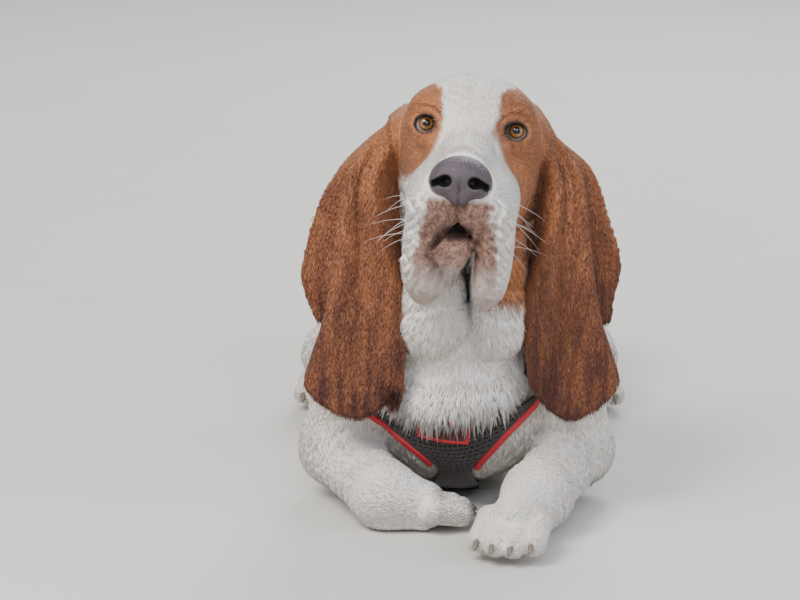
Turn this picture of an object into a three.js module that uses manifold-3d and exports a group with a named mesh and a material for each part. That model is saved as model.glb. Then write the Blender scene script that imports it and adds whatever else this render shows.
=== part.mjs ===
// A life-size basset hound lying on its brisket with its head raised, wearing a mesh harness.
// Millimetres, +Z up. The dog faces -Y, its left side is +X, and it rests on the plane z = 0.
// The body is a field of blended forms (tapered limbs and egg shapes), turned into one closed surface
// and parted into nodes with thin cuts. Ears and harness are thick sheets.
import * as THREE from "three";
import { SimplifyModifier } from "three/addons/modifiers/SimplifyModifier.js";
import { mergeVertices } from "three/addons/utils/BufferGeometryUtils.js";
import Module from "manifold-3d";

const wasm = await Module();
wasm.setup();

// Driving dimensions
const GAP = 0.3; // between touching meshes
const EYE_LINE = new THREE.Vector3(10, -75, 333); // midpoint between the eyes
const HEAD_PITCH = 13; // degrees the muzzle points up
const HEAD_YAW = 2.2; // degrees the muzzle turns to the dog's right
const HEAD_ROLL = 4.4; // degrees the head leans to the dog's left
const EYE_SPACING = 74; // pupil to pupil
const EYE_R = 11.5;
const SKULL_W = 114;
const CHEST_W = 200;
const CHEST_DEPTH = 210;
const FLEW_DROP = 148; // eye line to the lowest edge of the lips
const EAR_THICK = 5;
const FLOOR_MIDDLE = 250; // where the origin lies under the belly, from the front of the shoulders

// Sides of the grid boxes on which surfaces are drawn, finest round the head and the feet
const HEAD_CELL = 5.5;
const FOOT_CELL = 6.5;
const TRUNK_CELL = 12;
const ROOT_CELL = 26;
const SKIN_TRIANGLES = 7200;
const CUTTER_TRIANGLES = 150;

const rad = THREE.MathUtils.degToRad;
const V = (x, y, z) => new THREE.Vector3(x, y, z);

// Head frame: x to the dog's left, f along the muzzle, u up through the skull
const pitch = rad(HEAD_PITCH);
const yaw = rad(HEAD_YAW);
const roll = rad(HEAD_ROLL);
const FORWARD = V(-Math.sin(yaw) * Math.cos(pitch), -Math.cos(yaw) * Math.cos(pitch), Math.sin(pitch));
const level = V(Math.cos(yaw), -Math.sin(yaw), 0);
const upright = FORWARD.clone().cross(level);
const LEFT = level.clone().multiplyScalar(Math.cos(roll)).addScaledVector(upright, -Math.sin(roll));
const UP = FORWARD.clone().cross(LEFT);

function headPoint(x, f, u) {
  return EYE_LINE.clone().addScaledVector(LEFT, x).addScaledVector(FORWARD, f).addScaledVector(UP, u);
}

// Fields: a form is a function of a point that gives its distance to a surface, negative inside
function limb(a, b, ra, rb) {
  const axis = b.clone().sub(a);
  const l2 = axis.lengthSq();
  const taper = ra - rb;
  const a2 = l2 - taper * taper;
  return (p) => {
    const px = p.x - a.x;
    const py = p.y - a.y;
    const pz = p.z - a.z;
    const y = px * axis.x + py * axis.y + pz * axis.z;
    const z = y - l2;
    const qx = px * l2 - axis.x * y;
    const qy = py * l2 - axis.y * y;
    const qz = pz * l2 - axis.z * y;
    const x2 = qx * qx + qy * qy + qz * qz;
    const y2 = y * y * l2;
    const z2 = z * z * l2;
    const k = Math.sign(taper) * taper * taper * x2;
    if (Math.sign(z) * a2 * z2 > k) return Math.sqrt(x2 + z2) / l2 - rb;
    if (Math.sign(y) * a2 * y2 < k) return Math.sqrt(x2 + y2) / l2 - ra;
    return (Math.sqrt((x2 * a2) / l2) + y * taper) / l2 - ra;
  };
}

// An egg has its own three axes, which are the world's unless others are given
function egg(centre, radii, axes = [V(1, 0, 0), V(0, 1, 0), V(0, 0, 1)]) {
  const [ex, ey, ez] = axes;
  return (p) => {
    const dx = p.x - centre.x;
    const dy = p.y - centre.y;
    const dz = p.z - centre.z;
    const a = (dx * ex.x + dy * ex.y + dz * ex.z) / radii[0];
    const b = (dx * ey.x + dy * ey.y + dz * ey.z) / radii[1];
    const c = (dx * ez.x + dy * ez.y + dz * ez.z) / radii[2];
    const k0 = Math.sqrt(a * a + b * b + c * c);
    const k1 = Math.sqrt((a / radii[0]) ** 2 + (b / radii[1]) ** 2 + (c / radii[2]) ** 2);
    return k1 < 1e-9 ? -Math.min(...radii) : (k0 * (k0 - 1)) / k1;
  };
}

function smoothMin(a, b, k) {
  const h = Math.max(k - Math.abs(a - b), 0) / k;
  return Math.min(a, b) - h * h * k * 0.25;
}

const blend = (k, ...forms) => (p) => forms.reduce((d, form) => smoothMin(d, form(p), k), 1e3);

// The same form on both sides of the head or of the body
const SIDES = [-1, 1];
const bothSides = (make) => SIDES.map(make);

// A turned set of axes for an egg that leans: degrees about the row's X, Y and Z
function leaning(x, y, z) {
  const turn = new THREE.Euler(rad(x), rad(y), rad(z));
  return [V(1, 0, 0), V(0, 1, 0), V(0, 0, 1)].map((v) => v.applyEuler(turn));
}

function headEgg(x, f, u, rx, rf, ru, tilt = 0) {
  const t = rad(tilt);
  const f2 = FORWARD.clone().multiplyScalar(Math.cos(t)).addScaledVector(UP, Math.sin(t));
  const u2 = UP.clone().multiplyScalar(Math.cos(t)).addScaledVector(FORWARD, -Math.sin(t));
  return egg(headPoint(x, f, u), [rx, rf, ru], [LEFT, f2, u2]);
}

function headLimb(from, to, ra, rb) {
  return limb(headPoint(...from), headPoint(...to), ra, rb);
}

// Head forms
const halfSkull = SKULL_W / 2;
const skull = blend(
  18,
  headEgg(0, -62, 2, halfSkull, 72, 47),
  headEgg(0, -20, 8, 45, 38, 34),
  headEgg(0, -120, 14, 22, 18, 18),
  ...bothSides((s) => headEgg(s * 32, -5, 15, 17, 15, 13)),
  ...bothSides((s) => headEgg(s * 33, -15, -4, 20, 19, 20)),
  ...bothSides((s) => headEgg(s * 40, -45, -28, 20, 42, 34)),
);
const muzzle = blend(
  12,
  headLimb([0, -8, -24], [0, 94, -46], 32, 22),
  ...bothSides((s) => headLimb([s * 20, -5, -50], [s * 17, 86, -62], 28, 21)),
);
const flews = bothSides((s) =>
  blend(
    14,
    headEgg(s * 28, 42, -92, 17, 50, 50, 8),
    headEgg(s * 17, 84, -66, 17, 20, 20, 12),
    headEgg(s * 23, 46, 26 - FLEW_DROP, 15, 30, 26, 10),
  ),
);
const jaw = headLimb([0, 80, -105], [0, 26, -97], 15, 21);

// Neck and trunk forms
const neckTop = headPoint(0, -66, -52);
const neckBase = V(0, 45, 158);
const neck = blend(
  26,
  limb(neckTop, neckBase, 56, 80),
  limb(headPoint(0, -100, -10), V(0, 70, 185), 34, 42),
);
const dewlaps = bothSides((s) => limb(V(s * 25 + 5, -66, 236), V(s * 28 + 3, -72, 168), 24, 31));
const chestMid = CHEST_DEPTH / 2;
const trunk = blend(
  34,
  egg(V(0, 90, chestMid - 6), [CHEST_W / 2, 162, chestMid]),
  egg(V(0, -20, 96), [66, 60, 66]),
  egg(V(0, 250, 88), [90, 150, 94]),
  egg(V(0, 400, 104), [82, 92, 86]),
  ...bothSides((s) => egg(V(s * 66, 45, 142), [36, 66, 62], leaning(18, s * 12, 0))),
);

// Legs: hip or shoulder, joint by joint, to the paw
const PAW_W = 60;
const forelegs = {
  left: {
    shoulder: V(88, -18, 100),
    elbow: V(101, 2, 42),
    wrist: V(66, -118, 33),
    knuckles: V(47, -172, 27),
    toes: V(38, -208, 17),
  },
  right: {
    shoulder: V(-88, -18, 100),
    elbow: V(-103, -4, 43),
    wrist: V(-60, -104, 28),
    knuckles: V(-30, -106, 21),
    toes: V(-2, -88, 15),
  },
};
const hindlegs = {
  left: {
    knee: V(112, 296, 52),
    hock: V(104, 438, 27),
    knuckles: V(122, 318, 22),
    toes: V(126, 278, 16),
  },
  right: {
    knee: V(-112, 296, 52),
    hock: V(-104, 438, 27),
    knuckles: V(-122, 318, 22),
    toes: V(-126, 278, 16),
  },
};

function sideOf(point) {
  return point.x < 0 ? -1 : 1;
}

function upperForeleg(leg) {
  return blend(
    22,
    limb(leg.shoulder, leg.elbow, 38, 28),
    limb(leg.elbow, leg.wrist, 29, 25),
  );
}

// Four toes fan out from the knuckles, the outer two a little shorter
function toesOf(leg, width) {
  const ahead = leg.toes.clone().sub(leg.knuckles).setZ(0).normalize();
  const across = V(0, 0, 1).cross(ahead);
  return [-1.5, -0.5, 0.5, 1.5].map((i) => {
    const root = leg.knuckles.clone().addScaledVector(across, (i * width) / 4.6);
    const tip = leg.toes
      .clone()
      .addScaledVector(across, (i * width) / 4)
      .addScaledVector(ahead, Math.abs(i) > 1 ? -9 : 0);
    return { root, tip, ahead, radius: width / 5.6 };
  });
}

function paw(leg, from, wristR, width) {
  const toes = toesOf(leg, width).map(({ root, tip, radius }) => limb(root, tip, width / 5, radius));
  return blend(7, limb(from, leg.knuckles, wristR, width * 0.38), ...toes);
}

const HIND_PAW_W = PAW_W - 8;
const forepaw = (leg) => paw(leg, leg.wrist, 25, PAW_W);
const hindpaw = (leg) => paw(leg, leg.hock, 19, HIND_PAW_W);

function thigh(leg) {
  const s = sideOf(leg.knee);
  return blend(
    20,
    egg(V(s * 88, 372, 80), [38, 84, 74], leaning(-12, 0, s * 6)),
    limb(leg.knee, leg.hock, 34, 20),
  );
}

const TAIL = [V(0, 478, 118), V(4, 520, 66), V(22, 556, 24), V(62, 600, 13), V(116, 618, 10), V(166, 604, 7)];
const TAIL_R = [26, 20, 17, 13, 10, 6];
const tail = blend(
  10,
  ...TAIL.slice(1).map((point, i) => limb(TAIL[i], point, TAIL_R[i], TAIL_R[i + 1])),
);

const head = (p) => {
  const face = smoothMin(skull(p), muzzle(p), 22);
  const lips = flews.reduce((d, flew) => smoothMin(d, flew(p), 14), face);
  return smoothMin(lips, jaw(p), 3);
};
const throat = (p) => dewlaps.reduce((d, fold) => smoothMin(d, fold(p), 12), neck(p));
const legForms = [
  ...Object.values(forelegs).map(upperForeleg),
  ...Object.values(forelegs).map(forepaw),
  ...Object.values(hindlegs).map(thigh),
  ...Object.values(hindlegs).map(hindpaw),
];
const body = (p) => {
  const trunkAndNeck = smoothMin(trunk(p), throat(p), 22);
  const withHead = smoothMin(trunkAndNeck, head(p), 16);
  const withTail = smoothMin(withHead, tail(p), 14);
  return legForms.reduce((d, leg) => smoothMin(d, leg(p), 14), withTail);
};

const steps = [[1, 0, 0], [0, 1, 0], [0, 0, 1]];
const corners = [0, 1, 2, 3, 4, 5, 6, 7].map((c) => [c & 1, (c >> 1) & 1, (c >> 2) & 1]);

// True if the corners in the mask hang together along the edges of a cube
function hangsTogether(mask) {
  const members = corners.map((_, c) => c).filter((c) => mask & (1 << c));
  if (!members.length) return true;
  const met = new Set([members[0]]);
  for (const c of met)
    [1, 2, 4].map((bit) => c ^ bit).filter((d) => mask & (1 << d)).forEach((d) => met.add(d));
  return met.size === members.length;
}
const SIMPLE_CUBE = Array.from({ length: 256 }, (_, m) => hangsTogether(m) && hangsTogether(~m & 255));

// Fills the grid points where two sheets of the surface would share one box
function fillPinches(values, n, index, depth) {
  for (let changed = true; changed; ) {
    changed = false;
    for (let k = 0; k < n[2] - 1; k++)
      for (let j = 0; j < n[1] - 1; j++)
        for (let i = 0; i < n[0] - 1; i++) {
          let mask = 0;
          for (let c = 0; c < 8; c++)
            if (values[index(i + (c & 1), j + ((c >> 1) & 1), k + (c >> 2))] < 0) mask |= 1 << c;
          if (SIMPLE_CUBE[mask]) continue;
          const ids = corners.map(([a, b, c]) => index(i + a, j + b, k + c));
          const outside = ids.filter((id) => values[id] >= 0);
          values[outside.reduce((best, id) => (values[id] < values[best] ? id : best))] = -depth;
          changed = true;
        }
  }
}

// Grid positions along one axis; side is a number, or a function of the position
function ruler(from, to, side) {
  const marks = [from];
  while (marks.at(-1) < to) marks.push(marks.at(-1) + (side instanceof Function ? side(marks.at(-1)) : side));
  return marks;
}

// A closed surface where the field crosses the level, on a grid of boxes
function surfaceOf(field, low, high, side, levelAt = 0) {
  const sides = side instanceof Array ? side : [side, side, side];
  const marks = ["x", "y", "z"].map((axis, i) => ruler(low[axis], high[axis], sides[i]));
  const cell = marks[0][1] - marks[0][0];
  const n = marks.map((m) => m.length);
  const index = (i, j, k) => (k * n[1] + j) * n[0] + i;
  const values = new Float64Array(n[0] * n[1] * n[2]);
  const p = V(0, 0, 0);
  for (let k = 0; k < n[2]; k++)
    for (let j = 0; j < n[1]; j++)
      for (let i = 0; i < n[0]; i++) {
        p.set(marks[0][i], marks[1][j], marks[2][k]);
        const rim = i === 0 || j === 0 || k === 0 || i === n[0] - 1 || j === n[1] - 1 || k === n[2] - 1;
        values[index(i, j, k)] = rim ? cell : field(p) - levelAt;
      }
  fillPinches(values, n, index, cell / 20);
  const vertexOf = new Map();
  const positions = [];
  for (let k = 0; k < n[2] - 1; k++)
    for (let j = 0; j < n[1] - 1; j++)
      for (let i = 0; i < n[0] - 1; i++) {
        const at = corners.map(([a, b, c]) => values[index(i + a, j + b, k + c)]);
        if (at.every((v) => v < 0) || at.every((v) => v >= 0)) continue;
        const sum = [0, 0, 0];
        let crossings = 0;
        corners.forEach((from, c) =>
          steps.forEach((step, axis) => {
            if (from[axis]) return;
            const d = c | (1 << axis);
            if (at[c] < 0 === at[d] < 0) return;
            const t = at[c] / (at[c] - at[d]);
            sum[0] += from[0] + step[0] * t;
            sum[1] += from[1] + step[1] * t;
            sum[2] += from[2] + step[2] * t;
            crossings++;
          }),
        );
        vertexOf.set(index(i, j, k), positions.length / 3);
        [i, j, k].forEach((m, axis) => {
          const [from, to] = [marks[axis][m], marks[axis][m + 1]];
          positions.push(from + (sum[axis] / crossings) * (to - from));
        });
      }
  const faces = [];
  for (let k = 0; k < n[2] - 1; k++)
    for (let j = 0; j < n[1] - 1; j++)
      for (let i = 0; i < n[0] - 1; i++)
        steps.forEach(([a, b, c], axis) => {
          const here = values[index(i, j, k)] < 0;
          if (here === values[index(i + a, j + b, k + c)] < 0) return;
          const [u, v] = [steps[(axis + 1) % 3], steps[(axis + 2) % 3]];
          const around = [[0, 0], [1, 0], [1, 1], [0, 1]].map(([m, w]) =>
            vertexOf.get(index(i - m * u[0] - w * v[0], j - m * u[1] - w * v[1], k - m * u[2] - w * v[2])),
          );
          const ring = here ? around : around.slice().reverse();
          faces.push(ring[0], ring[1], ring[2], ring[0], ring[2], ring[3]);
        });
  const geometry = new THREE.BufferGeometry();
  geometry.setAttribute("position", new THREE.Float32BufferAttribute(positions, 3));
  geometry.setIndex(faces);
  return geometry;
}

// Solids that manifold-3d joins and cuts
function solidOf(geometry) {
  const flat = geometry.index ? geometry : mergeVertices(geometry);
  const bare = new THREE.BufferGeometry();
  bare.setAttribute("position", flat.getAttribute("position").clone());
  bare.setIndex(flat.index.clone());
  const merged = mergeVertices(bare, 1e-4);
  return new wasm.Manifold(
    new wasm.Mesh({
      numProp: 3,
      vertProperties: merged.attributes.position.array,
      triVerts: new Uint32Array(merged.index.array),
    }),
  );
}

function largest(solid) {
  return solid.decompose().reduce((best, piece) => (piece.volume() > best.volume() ? piece : best));
}

// Half-space cutter: a big block whose face passes through the point and which lies along the normal
const BLOCK = 1600;
function beyond(point, normal) {
  const n = normal.clone().normalize();
  const block = new THREE.BoxGeometry(BLOCK, BLOCK, BLOCK);
  block.applyQuaternion(new THREE.Quaternion().setFromUnitVectors(V(0, 0, 1), n));
  block.translate(
    point.x + (n.x * BLOCK) / 2,
    point.y + (n.y * BLOCK) / 2,
    point.z + (n.z * BLOCK) / 2,
  );
  return solidOf(block);
}

const FLOOR = beyond(V(0, 0, 0), V(0, 0, -1));

// The same surface with fewer triangles, largest where it is flattest
async function fewer(geometry, triangles) {
  const spare = geometry.getAttribute("position").count - triangles / 2;
  return new SimplifyModifier().modify(geometry, Math.max(spare, 0));
}

// The whole skin, without ears
const SKIN_BOX = [V(-152, -236, -14), V(180, 640, 392)];
const SKIN_SIDES = [
  (x) => (Math.abs(x) < 70 ? HEAD_CELL : FOOT_CELL),
  (y) => (y < -10 ? HEAD_CELL : y > 470 || (y > 260 && y < 340) ? FOOT_CELL : TRUNK_CELL),
  (z) => (z > 165 ? HEAD_CELL : z < 50 ? FOOT_CELL : TRUNK_CELL),
];
async function skinAt(level) {
  return solidOf(await fewer(surfaceOf(body, ...SKIN_BOX, SKIN_SIDES, level), SKIN_TRIANGLES));
}
const skin = (await skinAt(0)).subtract(FLOOR);

const { union, difference } = wasm.Manifold;

// The mesh with each vertex moved along its normal
function offset(geometry, distance) {
  const moved = geometry.clone();
  moved.computeVertexNormals();
  const at = moved.getAttribute("position");
  const normal = moved.getAttribute("normal");
  for (let i = 0; i < at.count; i++)
    at.setXYZ(
      i,
      at.getX(i) + normal.getX(i) * distance,
      at.getY(i) + normal.getY(i) * distance,
      at.getZ(i) + normal.getZ(i) * distance,
    );
  return moved;
}

const SPREAD = 0.5; // allows for the flattening of both faces
// A grown form as two cutters a gap apart: one keeps a node, the other clears it from its neighbours
async function cutterOf(form, grow, from, to, side, triangles = CUTTER_TRIANGLES) {
  const surface = await fewer(surfaceOf(form, from, to, side, grow), triangles);
  return { keep: solidOf(offset(surface, -SPREAD)), clear: solidOf(offset(surface, SPREAD)) };
}

function planeCut(point, normal) {
  const n = normal.clone().normalize();
  return {
    keep: beyond(point.clone().addScaledVector(n, GAP / 2), n),
    clear: beyond(point.clone().addScaledVector(n, -GAP / 2), n),
  };
}

function boxAround(points, margin) {
  const box = new THREE.Box3().setFromPoints(points).expandByScalar(margin);
  return [box.min, box.max];
}

function block(from, to) {
  const size = to.clone().sub(from);
  const box = new THREE.BoxGeometry(size.x, size.y, size.z);
  box.translate((from.x + to.x) / 2, (from.y + to.y) / 2, (from.z + to.z) / 2);
  return solidOf(box);
}

// A round ball or egg as a solid of its own, with its axes along the head's
function roundSolid(centre, radii, columns = 18, rows = 12) {
  const ball = new THREE.SphereGeometry(1, columns, rows);
  ball.scale(radii[1], radii[0], radii[2]);
  ball.applyMatrix4(new THREE.Matrix4().makeBasis(FORWARD, LEFT, UP));
  ball.translate(centre.x, centre.y, centre.z);
  return solidOf(ball);
}

// A round bar along a smooth line
function bar(points, radius, sides, steps) {
  const ring = new THREE.Shape();
  for (let i = 0; i < sides; i++) {
    const a = (i / sides) * Math.PI * 2;
    ring[i ? "lineTo" : "moveTo"](Math.cos(a) * radius, Math.sin(a) * radius);
  }
  const extrudePath = new THREE.CatmullRomCurve3(points);
  return solidOf(new THREE.ExtrudeGeometry(ring, { steps, extrudePath, bevelEnabled: false }));
}

// A sheet with thickness: facesAt(s, t) gives a point on each face, for s and t from 0 to 1,
// and both faces are split into triangles alike
function sheet(facesAt, ns, nt) {
  const positions = [];
  for (let j = 0; j <= nt; j++) for (let i = 0; i <= ns; i++) positions.push(...facesAt(i / ns, j / nt));
  const id = (i, j, face) => (j * (ns + 1) + i) * 2 + face;
  const faces = [];
  for (let j = 0; j < nt; j++)
    for (let i = 0; i < ns; i++) {
      const corner = [[i, j], [i + 1, j], [i + 1, j + 1], [i, j + 1]];
      const [a, b, c, d] = corner.map(([m, w]) => id(m, w, 0));
      const [e, f, g, h] = corner.map(([m, w]) => id(m, w, 1));
      faces.push(a, b, c, a, c, d, e, g, f, e, h, g);
    }
  const rim = [];
  for (let i = 0; i < ns; i++) rim.push([i, 0]);
  for (let j = 0; j < nt; j++) rim.push([ns, j]);
  for (let i = ns; i > 0; i--) rim.push([i, nt]);
  for (let j = nt; j > 0; j--) rim.push([0, j]);
  rim.forEach(([i, j], m) => {
    const [k, l] = rim[(m + 1) % rim.length];
    faces.push(id(i, j, 0), id(i, j, 1), id(k, l, 0), id(k, l, 0), id(i, j, 1), id(k, l, 1));
  });
  const geometry = new THREE.BufferGeometry().setFromPoints(positions);
  geometry.setIndex(faces);
  const solid = solidOf(geometry);
  if (solid.volume() > 0) return solid;
  for (let i = 0; i < faces.length; i += 3) [faces[i + 1], faces[i + 2]] = [faces[i + 2], faces[i + 1]];
  geometry.setIndex(faces);
  return solidOf(geometry);
}

const root = new THREE.Group();
root.name = "basset_hound";
root.position.y = -FLOOR_MIDDLE;

function material(color, roughness, metalness = 0) {
  return new THREE.MeshStandardMaterial({ color, roughness, metalness });
}
const WHITE_COAT = material(0xece6e2, 0.85);
const TAN_COAT = material(0x9a5a36, 0.8);
const NOSE_SKIN = material(0x4a4046, 0.45);
const EYE = material(0x7a4a20, 0.1);
const MESH_FABRIC = material(0x2a2424, 0.9);
const RED_WEBBING = material(0xc4202e, 0.7);
const BLACK_PLASTIC = material(0x1c1c1e, 0.4);
const STEEL = material(0xb8bcc0, 0.3, 1);

function geometryOf(solid) {
  const { vertProperties, triVerts } = solid.getMesh();
  const geometry = new THREE.BufferGeometry();
  geometry.setAttribute("position", new THREE.BufferAttribute(vertProperties, 3));
  geometry.setIndex(new THREE.BufferAttribute(triVerts, 1));
  return geometry;
}

const KEPT_SHARE = 0.62;
// Adds a node, with the share of its triangles that is kept: cuts leave many that add no shape
async function add(name, solid, look, keep = KEPT_SHARE) {
  let geometry = geometryOf(largest(solid));
  if (keep < 1) {
    const flattened = await fewer(geometry, (geometry.index.count / 3) * keep);
    geometry = geometryOf(largest(solidOf(flattened)));
  }
  geometry.computeVertexNormals();
  const node = new THREE.Mesh(geometry, look);
  node.name = name;
  root.add(node);
}

const sideName = (s) => (s < 0 ? "right" : "left");

// Cuts between head, neck, chest, loin, rump and tail
const throatward = FORWARD.clone().multiplyScalar(-0.64).addScaledVector(UP, -0.77);
const neckCut = planeCut(headPoint(0, -60, -78), throatward);
const chestCut = planeCut(V(0, -100, 128), V(0, 0.4, -0.917));
const loinCut = planeCut(V(0, 178, 100), V(0, 1, 0));
const rumpCut = planeCut(V(0, 322, 100), V(0, 1, 0));
const tailCut = planeCut(V(0, 500, 90), V(0, 0.78, -0.62));

// The harness lies in a shallow print in the underside of the chest, so that both are flat on the floor
const CLOTH = 3.6;
const GIRTH_Y = 152;
const GIRTH_W = 26;
const STERNUM_W = 40;
const STERNUM_X = -2;
const BELLY_HALF = 24;
const strapBlocks = (grow) => ({
  sternum: block(
    V(STERNUM_X - STERNUM_W / 2 - grow, 0, -grow),
    V(STERNUM_X + STERNUM_W / 2 + grow, GIRTH_Y - GIRTH_W / 2 - GAP + grow, CLOTH + grow),
  ),
  belly: block(
    V(-BELLY_HALF - grow, GIRTH_Y - GIRTH_W / 2 - grow, -grow),
    V(BELLY_HALF + grow, GIRTH_Y + GIRTH_W / 2 + grow, CLOTH + grow),
  ),
});

// Each leg: the upper part and the paw with its claws, and the room they need in the trunk
const ROOT_GROW = 7;
const legRoom = [];
function claw({ tip, ahead, radius }) {
  const length = 14;
  const aim = ahead.clone().setZ(-0.45).normalize();
  const cone = new THREE.ConeGeometry(3.4, length, 6);
  cone.applyQuaternion(new THREE.Quaternion().setFromUnitVectors(V(0, 1, 0), aim));
  const centre = tip.clone().addScaledVector(aim, radius + length / 2 - 5);
  cone.translate(centre.x, centre.y, centre.z);
  return solidOf(cone);
}
async function addLeg(leg, upperForm, pawForm, pawWidth, upperName, pawName) {
  const upper = await cutterOf(upperForm, ROOT_GROW, ...boxAround(Object.values(leg), 80), ROOT_CELL);
  const footBones = Object.values(leg).slice(-3);
  const foot = await cutterOf(pawForm, ROOT_GROW, ...boxAround(footBones, 60), ROOT_CELL);
  const claws = toesOf(leg, pawWidth).map(claw);
  await add(upperName, difference([skin.intersect(upper.keep), foot.clear]), WHITE_COAT);
  await add(pawName, union([skin.intersect(foot.keep), ...claws]), WHITE_COAT);
  legRoom.push(upper.clear, foot.clear);
}
for (const [side, leg] of Object.entries(forelegs))
  await addLeg(leg, upperForeleg(leg), forepaw(leg), PAW_W, `${side}_foreleg`, `${side}_forepaw`);
for (const [side, leg] of Object.entries(hindlegs))
  await addLeg(leg, thigh(leg), hindpaw(leg), HIND_PAW_W, `${side}_thigh`, `${side}_hindpaw`);

// Tail
const tailCutter = await cutterOf(tail, ROOT_GROW, ...boxAround(TAIL, 60), ROOT_CELL);
await add("tail", skin.intersect(tailCutter.keep).intersect(tailCut.keep), WHITE_COAT, 0.45);

// Trunk in three lengths, and the neck with its dewlap
const prints = strapBlocks(GAP);
const trunkSolid = difference([
  skin,
  ...legRoom,
  tailCutter.clear.intersect(tailCut.clear),
  prints.sternum,
  prints.belly,
]);
await add("chest", trunkSolid.intersect(chestCut.keep).subtract(loinCut.clear), WHITE_COAT);
await add("loin", trunkSolid.intersect(loinCut.keep).subtract(rumpCut.clear), WHITE_COAT);
await add("rump", trunkSolid.intersect(rumpCut.keep), WHITE_COAT, 0.72);
await add("neck", difference([skin.intersect(neckCut.keep), chestCut.clear, ...legRoom]), WHITE_COAT);

// Where a line from ahead of the face meets the head
function onFace(x, u) {
  let f = 60;
  while (body(headPoint(x, f, u)) > 0) f -= 0.25;
  return headPoint(x, f, u);
}

// Eyes, and the two lids that ring each opening
const LID_R = 2.6;
const OPENING = { wide: 9, high: 8 };
const eyeX = EYE_SPACING / 2;
const eyeCentre = (s) => headPoint(s * eyeX, -5, 0);
const eyeOpenings = bothSides((s) => {
  return roundSolid(headPoint(s * eyeX, 8, 0), [OPENING.wide, 12, OPENING.high]);
});
const lids = SIDES.flatMap((s) =>
  [1, -1].map((half) => {
    const rim = [0, 30, 60, 90, 120, 150, 180].map((degrees) => {
      const a = rad(degrees) * half;
      const x = s * eyeX + (OPENING.wide + 1.4) * Math.cos(a);
      return onFace(x, (OPENING.high + 1.4) * Math.sin(a));
    });
    return bar(rim, LID_R, 6, 7);
  }),
);
const eyeRoom = bothSides((s) => roundSolid(eyeCentre(s), [EYE_R + GAP, EYE_R + GAP, EYE_R + GAP], 14, 8));
for (const s of SIDES) await add(`${sideName(s)}_eye`, roundSolid(eyeCentre(s), [EYE_R, EYE_R, EYE_R], 14, 8), EYE, 1);

const NOSE_CELL = 7;
// Nose leather, with nostrils that run back and turn outwards
const noseForm = blend(
  8,
  headEgg(0, 104, -44, 23, 19, 17),
  ...bothSides((s) => headEgg(s * 14, 106, -50, 11, 14, 11)),
  headEgg(0, 108, -60, 8, 9, 8),
);
const noseBox = boxAround([headPoint(-24, 100, -47), headPoint(24, 104, -47)], 30);
const nose = await cutterOf(noseForm, 0, ...noseBox, NOSE_CELL, 320);
const nostrils = bothSides((s) =>
  bar([headPoint(s * 11, 134, -50), headPoint(s * 12, 120, -49), headPoint(s * 19, 108, -49)], 4.6, 8, 4),
);
await add("nose", difference([nose.keep, ...nostrils]), NOSE_SKIN, 0.75);

// Lower jaw, and the head that closes over it
const JAW_CELL = 9;
const jawBox = boxAround([headPoint(0, 80, -105), headPoint(0, 20, -96)], 42);
const jawCut = await cutterOf(jaw, 3, ...jawBox, JAW_CELL);
const mouth = roundSolid(headPoint(0, 94, -88), [11, 22, 6], 12, 8);
await add("lower_jaw", skin.intersect(jawCut.keep), WHITE_COAT);
await add(
  "head",
  difference([
    union([skin.subtract(neckCut.clear), ...lids]),
    nose.clear,
    jawCut.clear,
    mouth,
    ...eyeOpenings,
    ...eyeRoom,
  ]),
  TAN_COAT,
);

// The whole skin, grown a little: ears and harness are cut clear of it
const CLEAR = 0.9;
const grownSkin = (await skinAt(CLEAR)).subtract(prints.sternum.add(prints.belly));

// Ears: each column runs from the root to the tip as [out, down, ahead] from the eye line
const EAR_COLUMNS = [
  [[50, 2, -42], [58, 52, -36], [56, 106, -22], [48, 150, -8], [58, 206, -2]], // front edge, turned under
  [[58, -4, -28], [76, 50, -14], [66, 106, 6], [51, 152, 13], [55, 214, 12]], // front ridge
  [[60, -8, -38], [85, 46, -24], [84, 104, -6], [80, 162, 7], [88, 240, 12]], // hollow
  [[60, -10, -46], [93, 38, -26], [102, 100, -8], [110, 160, 7], [129, 212, 10]], // outer ridge
  [[58, -8, -66], [90, 36, -50], [100, 94, -36], [104, 140, -28], [108, 176, -22]], // turned back
  [[54, -4, -96], [103, 44, -66], [123, 90, -52], [132, 130, -46], [122, 168, -40]], // rear edge
];
const EAR_SPREAD = { left: 0.94, right: 1.06 };
function earMiddle(s) {
  const spread = EAR_SPREAD[sideName(s)];
  const columns = EAR_COLUMNS.map((column) => {
    const points = column.map(([out, down, ahead]) =>
      EYE_LINE.clone().add(V(s * out * spread, -ahead, -down)),
    );
    return new THREE.CatmullRomCurve3(points);
  });
  return (across, along) =>
    new THREE.CatmullRomCurve3(columns.map((column) => column.getPoint(along))).getPoint(across);
}
function earFaces(s) {
  const middle = earMiddle(s);
  const step = 1e-3;
  const inside = (x) => THREE.MathUtils.clamp(x, step, 1 - step);
  return (across, along) => {
    const [a, b] = [inside(across), inside(along)];
    const da = middle(a + step, b).sub(middle(a - step, b));
    const db = middle(a, b + step).sub(middle(a, b - step));
    const out = da.cross(db).setLength(EAR_THICK / 2);
    const here = middle(across, along);
    return [here.clone().add(out), here.clone().sub(out)];
  };
}
for (const s of SIDES)
  await add(`${sideName(s)}_ear`, sheet(earFaces(s), 14, 12).subtract(grownSkin), TAN_COAT, 0.75);

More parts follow.
